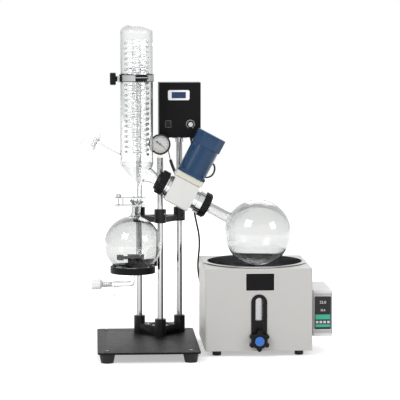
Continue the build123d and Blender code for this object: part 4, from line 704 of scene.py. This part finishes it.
def slab(name, finish, outlines, centre, thick, soft, body, slot):
    """A flat piece with outlines and holes, upright towards the viewer, with softened edges."""
    curve = bpy.data.curves.new(name, "CURVE")
    curve.dimensions = "2D"
    curve.fill_mode = "BOTH"
    curve.extrude = thick / 2 - soft
    curve.bevel_depth = soft
    curve.bevel_resolution = 3
    for outline in outlines:
        line = curve.splines.new("POLY")
        line.points.add(len(outline) - 1)
        for point, (x, y) in zip(line.points, outline):
            point.co = (x, y, 0, 1)
        line.use_cyclic_u = True
    made = bpy.data.objects.new(name, curve)
    bpy.context.collection.objects.link(made)
    deselect()
    bpy.context.view_layer.objects.active = made
    made.select_set(True)
    bpy.ops.object.convert(target="MESH")
    made.data.transform(Matrix.Translation(centre) @ Matrix.Rotation(pi / 2, 4, "X"))
    return show(made, finish, body, slot)


frame_size = (bezel_high.x - bezel_low.x, bezel_high.z - bezel_low.z)
frame_outlines = [rounded(frame_size[0] - 0.0016, frame_size[1] - 0.0016, 0.0050), rounded(0.049, 0.0225, 0.002)]
surround = slab("display_surround", bezel_white, frame_outlines, bezel_middle, 0.003, 0.0008, "stand", "housing_white")
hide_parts("display_bezel")
lcd_face = bezel_high.y - 0.0008
plate("lcd_glass", lcd_blue, (bezel_middle.x, lcd_face, bezel_middle.z), (0.0500, 0.0014, 0.0235), "stand")
rocker_low, rocker_high = extent("power_rocker")
rocker_middle = (rocker_low + rocker_high) / 2
knob_low, knob_high = extent("speed_knob")
knob_middle = (knob_low + knob_high) / 2
knob_middle.x = (knob_low.x + knob_high.x) / 2
for i in range(21):
    swing = radians(-150 + 15 * i)
    ring = 0.0135
    centre = (knob_middle.x + ring * sin(swing), bezel_high.y - 0.0001, knob_middle.z + ring * cos(swing))
    plate("speed_mark_%d" % i, print_white, centre, (0.0009, 0.0003, 0.0042), "stand", turn=swing)
for side in (-1, 1):
    beside = (rocker_middle.x + side * 0.0095, bezel_high.y - 0.0016, rocker_middle.z)
    plate("rocker_side_%d" % side, print_grey, beside, (0.0008, 0.0003, 0.0225), "stand")
    above = (rocker_middle.x, bezel_high.y - 0.0016, rocker_middle.z + side * 0.0112)
    plate("rocker_end_%d" % side, print_grey, above, (0.0182, 0.0003, 0.0008), "stand")

# Gauge: a white dial with black ticks and figures under a black bezel ring.
gauge_low, gauge_high = extent("gauge_case")
gauge_centre = Vector(((gauge_low.x + gauge_high.x) / 2, 0, gauge_high.z - 0.034))
dial_face = gauge_high.y - 0.020
ink = Finish("dial_ink", (0.01, 0.01, 0.01), 0.5)
for i in range(31):
    swing = radians(-135 + 9 * i)
    long = i % 3 == 0
    ring = 0.0245 if long else 0.0256
    centre = (gauge_centre.x + ring * sin(swing), dial_face - 0.0001, gauge_centre.z + ring * cos(swing))
    size = (0.0009 if long else 0.0005, 0.0003, 0.0056 if long else 0.0034)
    plate("dial_mark_%d" % i, ink, centre, size, "stand", turn=swing)
for i in range(6):
    swing = radians(-135 + 54 * i)
    centre = (gauge_centre.x + 0.0185 * sin(swing), dial_face - 0.0001, gauge_centre.z + 0.0185 * cos(swing))
    writing("dial_figure_%d" % i, ink, str(2 * i), centre, 0.0062, "stand")
facing_out = standing((gauge_centre.x, gauge_low.y, gauge_centre.z), (0, -1, 0))
ring_outline = [(0.0290, -0.0010), (0.0290, 0.0006), (0.0300, 0.0012), (0.0334, 0.0012), (0.0346, 0.0002), (0.0346, -0.0055), (0.0341, -0.0055), (0.0341, -0.0004)]
gauge_ring = spun("gauge_ring", ring_outline, facing_out, 96)
show(gauge_ring, gloss_black, "stand", "black_plastic")
dial_disc = spun("dial_disc", [(0.0014, 0), (0.0283, 0), (0.0283, 0.0002), (0.0014, 0.0002)], standing((gauge_centre.x, dial_face, gauge_centre.z), (0, -1, 0)), 64)
show(dial_disc, dial_white, "stand", "housing_white")

# Bath front: a bare black plate with a pale edge, and the blue cap of the lift knob.
bath_low, bath_high = extent("bath_casing")
plate_centre = Vector((0.1735, bath_low.y - 0.0004, 0.245))
plate("name_plate_edge", print_white, plate_centre, (0.094, 0.0006, 0.058), "bath")
plate("name_plate", powder, plate_centre - Vector((0, 0.0003, 0)), (0.0915, 0.0006, 0.0555), "bath")
star_low, star_high = extent("lift_knob")
blue_plastic = Finish("blue_plastic", (0.012, 0.13, 0.48), 0.2)
cap_outline = [(0, -0.001), (0.0154, -0.001), (0.0154, 0.0006), (0.0146, 0.0016), (0, 0.0019)]
star_place = standing(((star_low.x + star_high.x) / 2, star_low.y, (star_low.z + star_high.z) / 2), (0, -1, 0))
show(spun("knob_cap", cap_outline, star_place, 48), blue_plastic, "lift_star", "blue_plastic")

# Controller: two lit displays behind the panel's windows.
panel_low, panel_high = extent("controller_panel")
lit_green = Finish("lit_green", (0.01, 0.20, 0.13), 0.3, Emission_Color=(0.02, 0.32, 0.20, 1), Emission_Strength=0.5)
panel_middle = (panel_low + panel_high) / 2
for name, rise, height in (("upper", 0.034, 0.0125), ("lower", 0.008, 0.0095)):
    centre = (panel_middle.x, panel_low.y + 0.0008, panel_middle.z + rise)
    writing("figures_" + name, print_white, "25.0", centre, height, "bath")
shell_low, shell_high = extent("controller_shell")
violet = Finish("violet_edging", (0.10, 0.10, 0.34), 0.4)
warm_grey = Finish("warm_grey", (0.42, 0.40, 0.38), 0.5)
for side in (shell_low.x + 0.0014, shell_high.x - 0.0014):
    edging = (side, shell_low.y, (shell_low.z + shell_high.z) / 2)
    plate("edging_%d" % round(side * 1000), violet, edging, (0.0016, 0.0005, 0.139), "bath")
for name, level, height in (("top", 0.1975, 0.008), ("foot", 0.0745, 0.010)):
    plate("band_" + name, warm_grey, (panel_middle.x, shell_low.y, level), (0.056, 0.0005, height), "bath")
for name, level, height in (("upper", 0.1235, 0.016), ("lower", 0.0945, 0.009)):
    centre = (panel_middle.x, panel_low.y, level)
    plate("strip_" + name, lit_green, centre, (0.048, 0.0004, height), "bath")
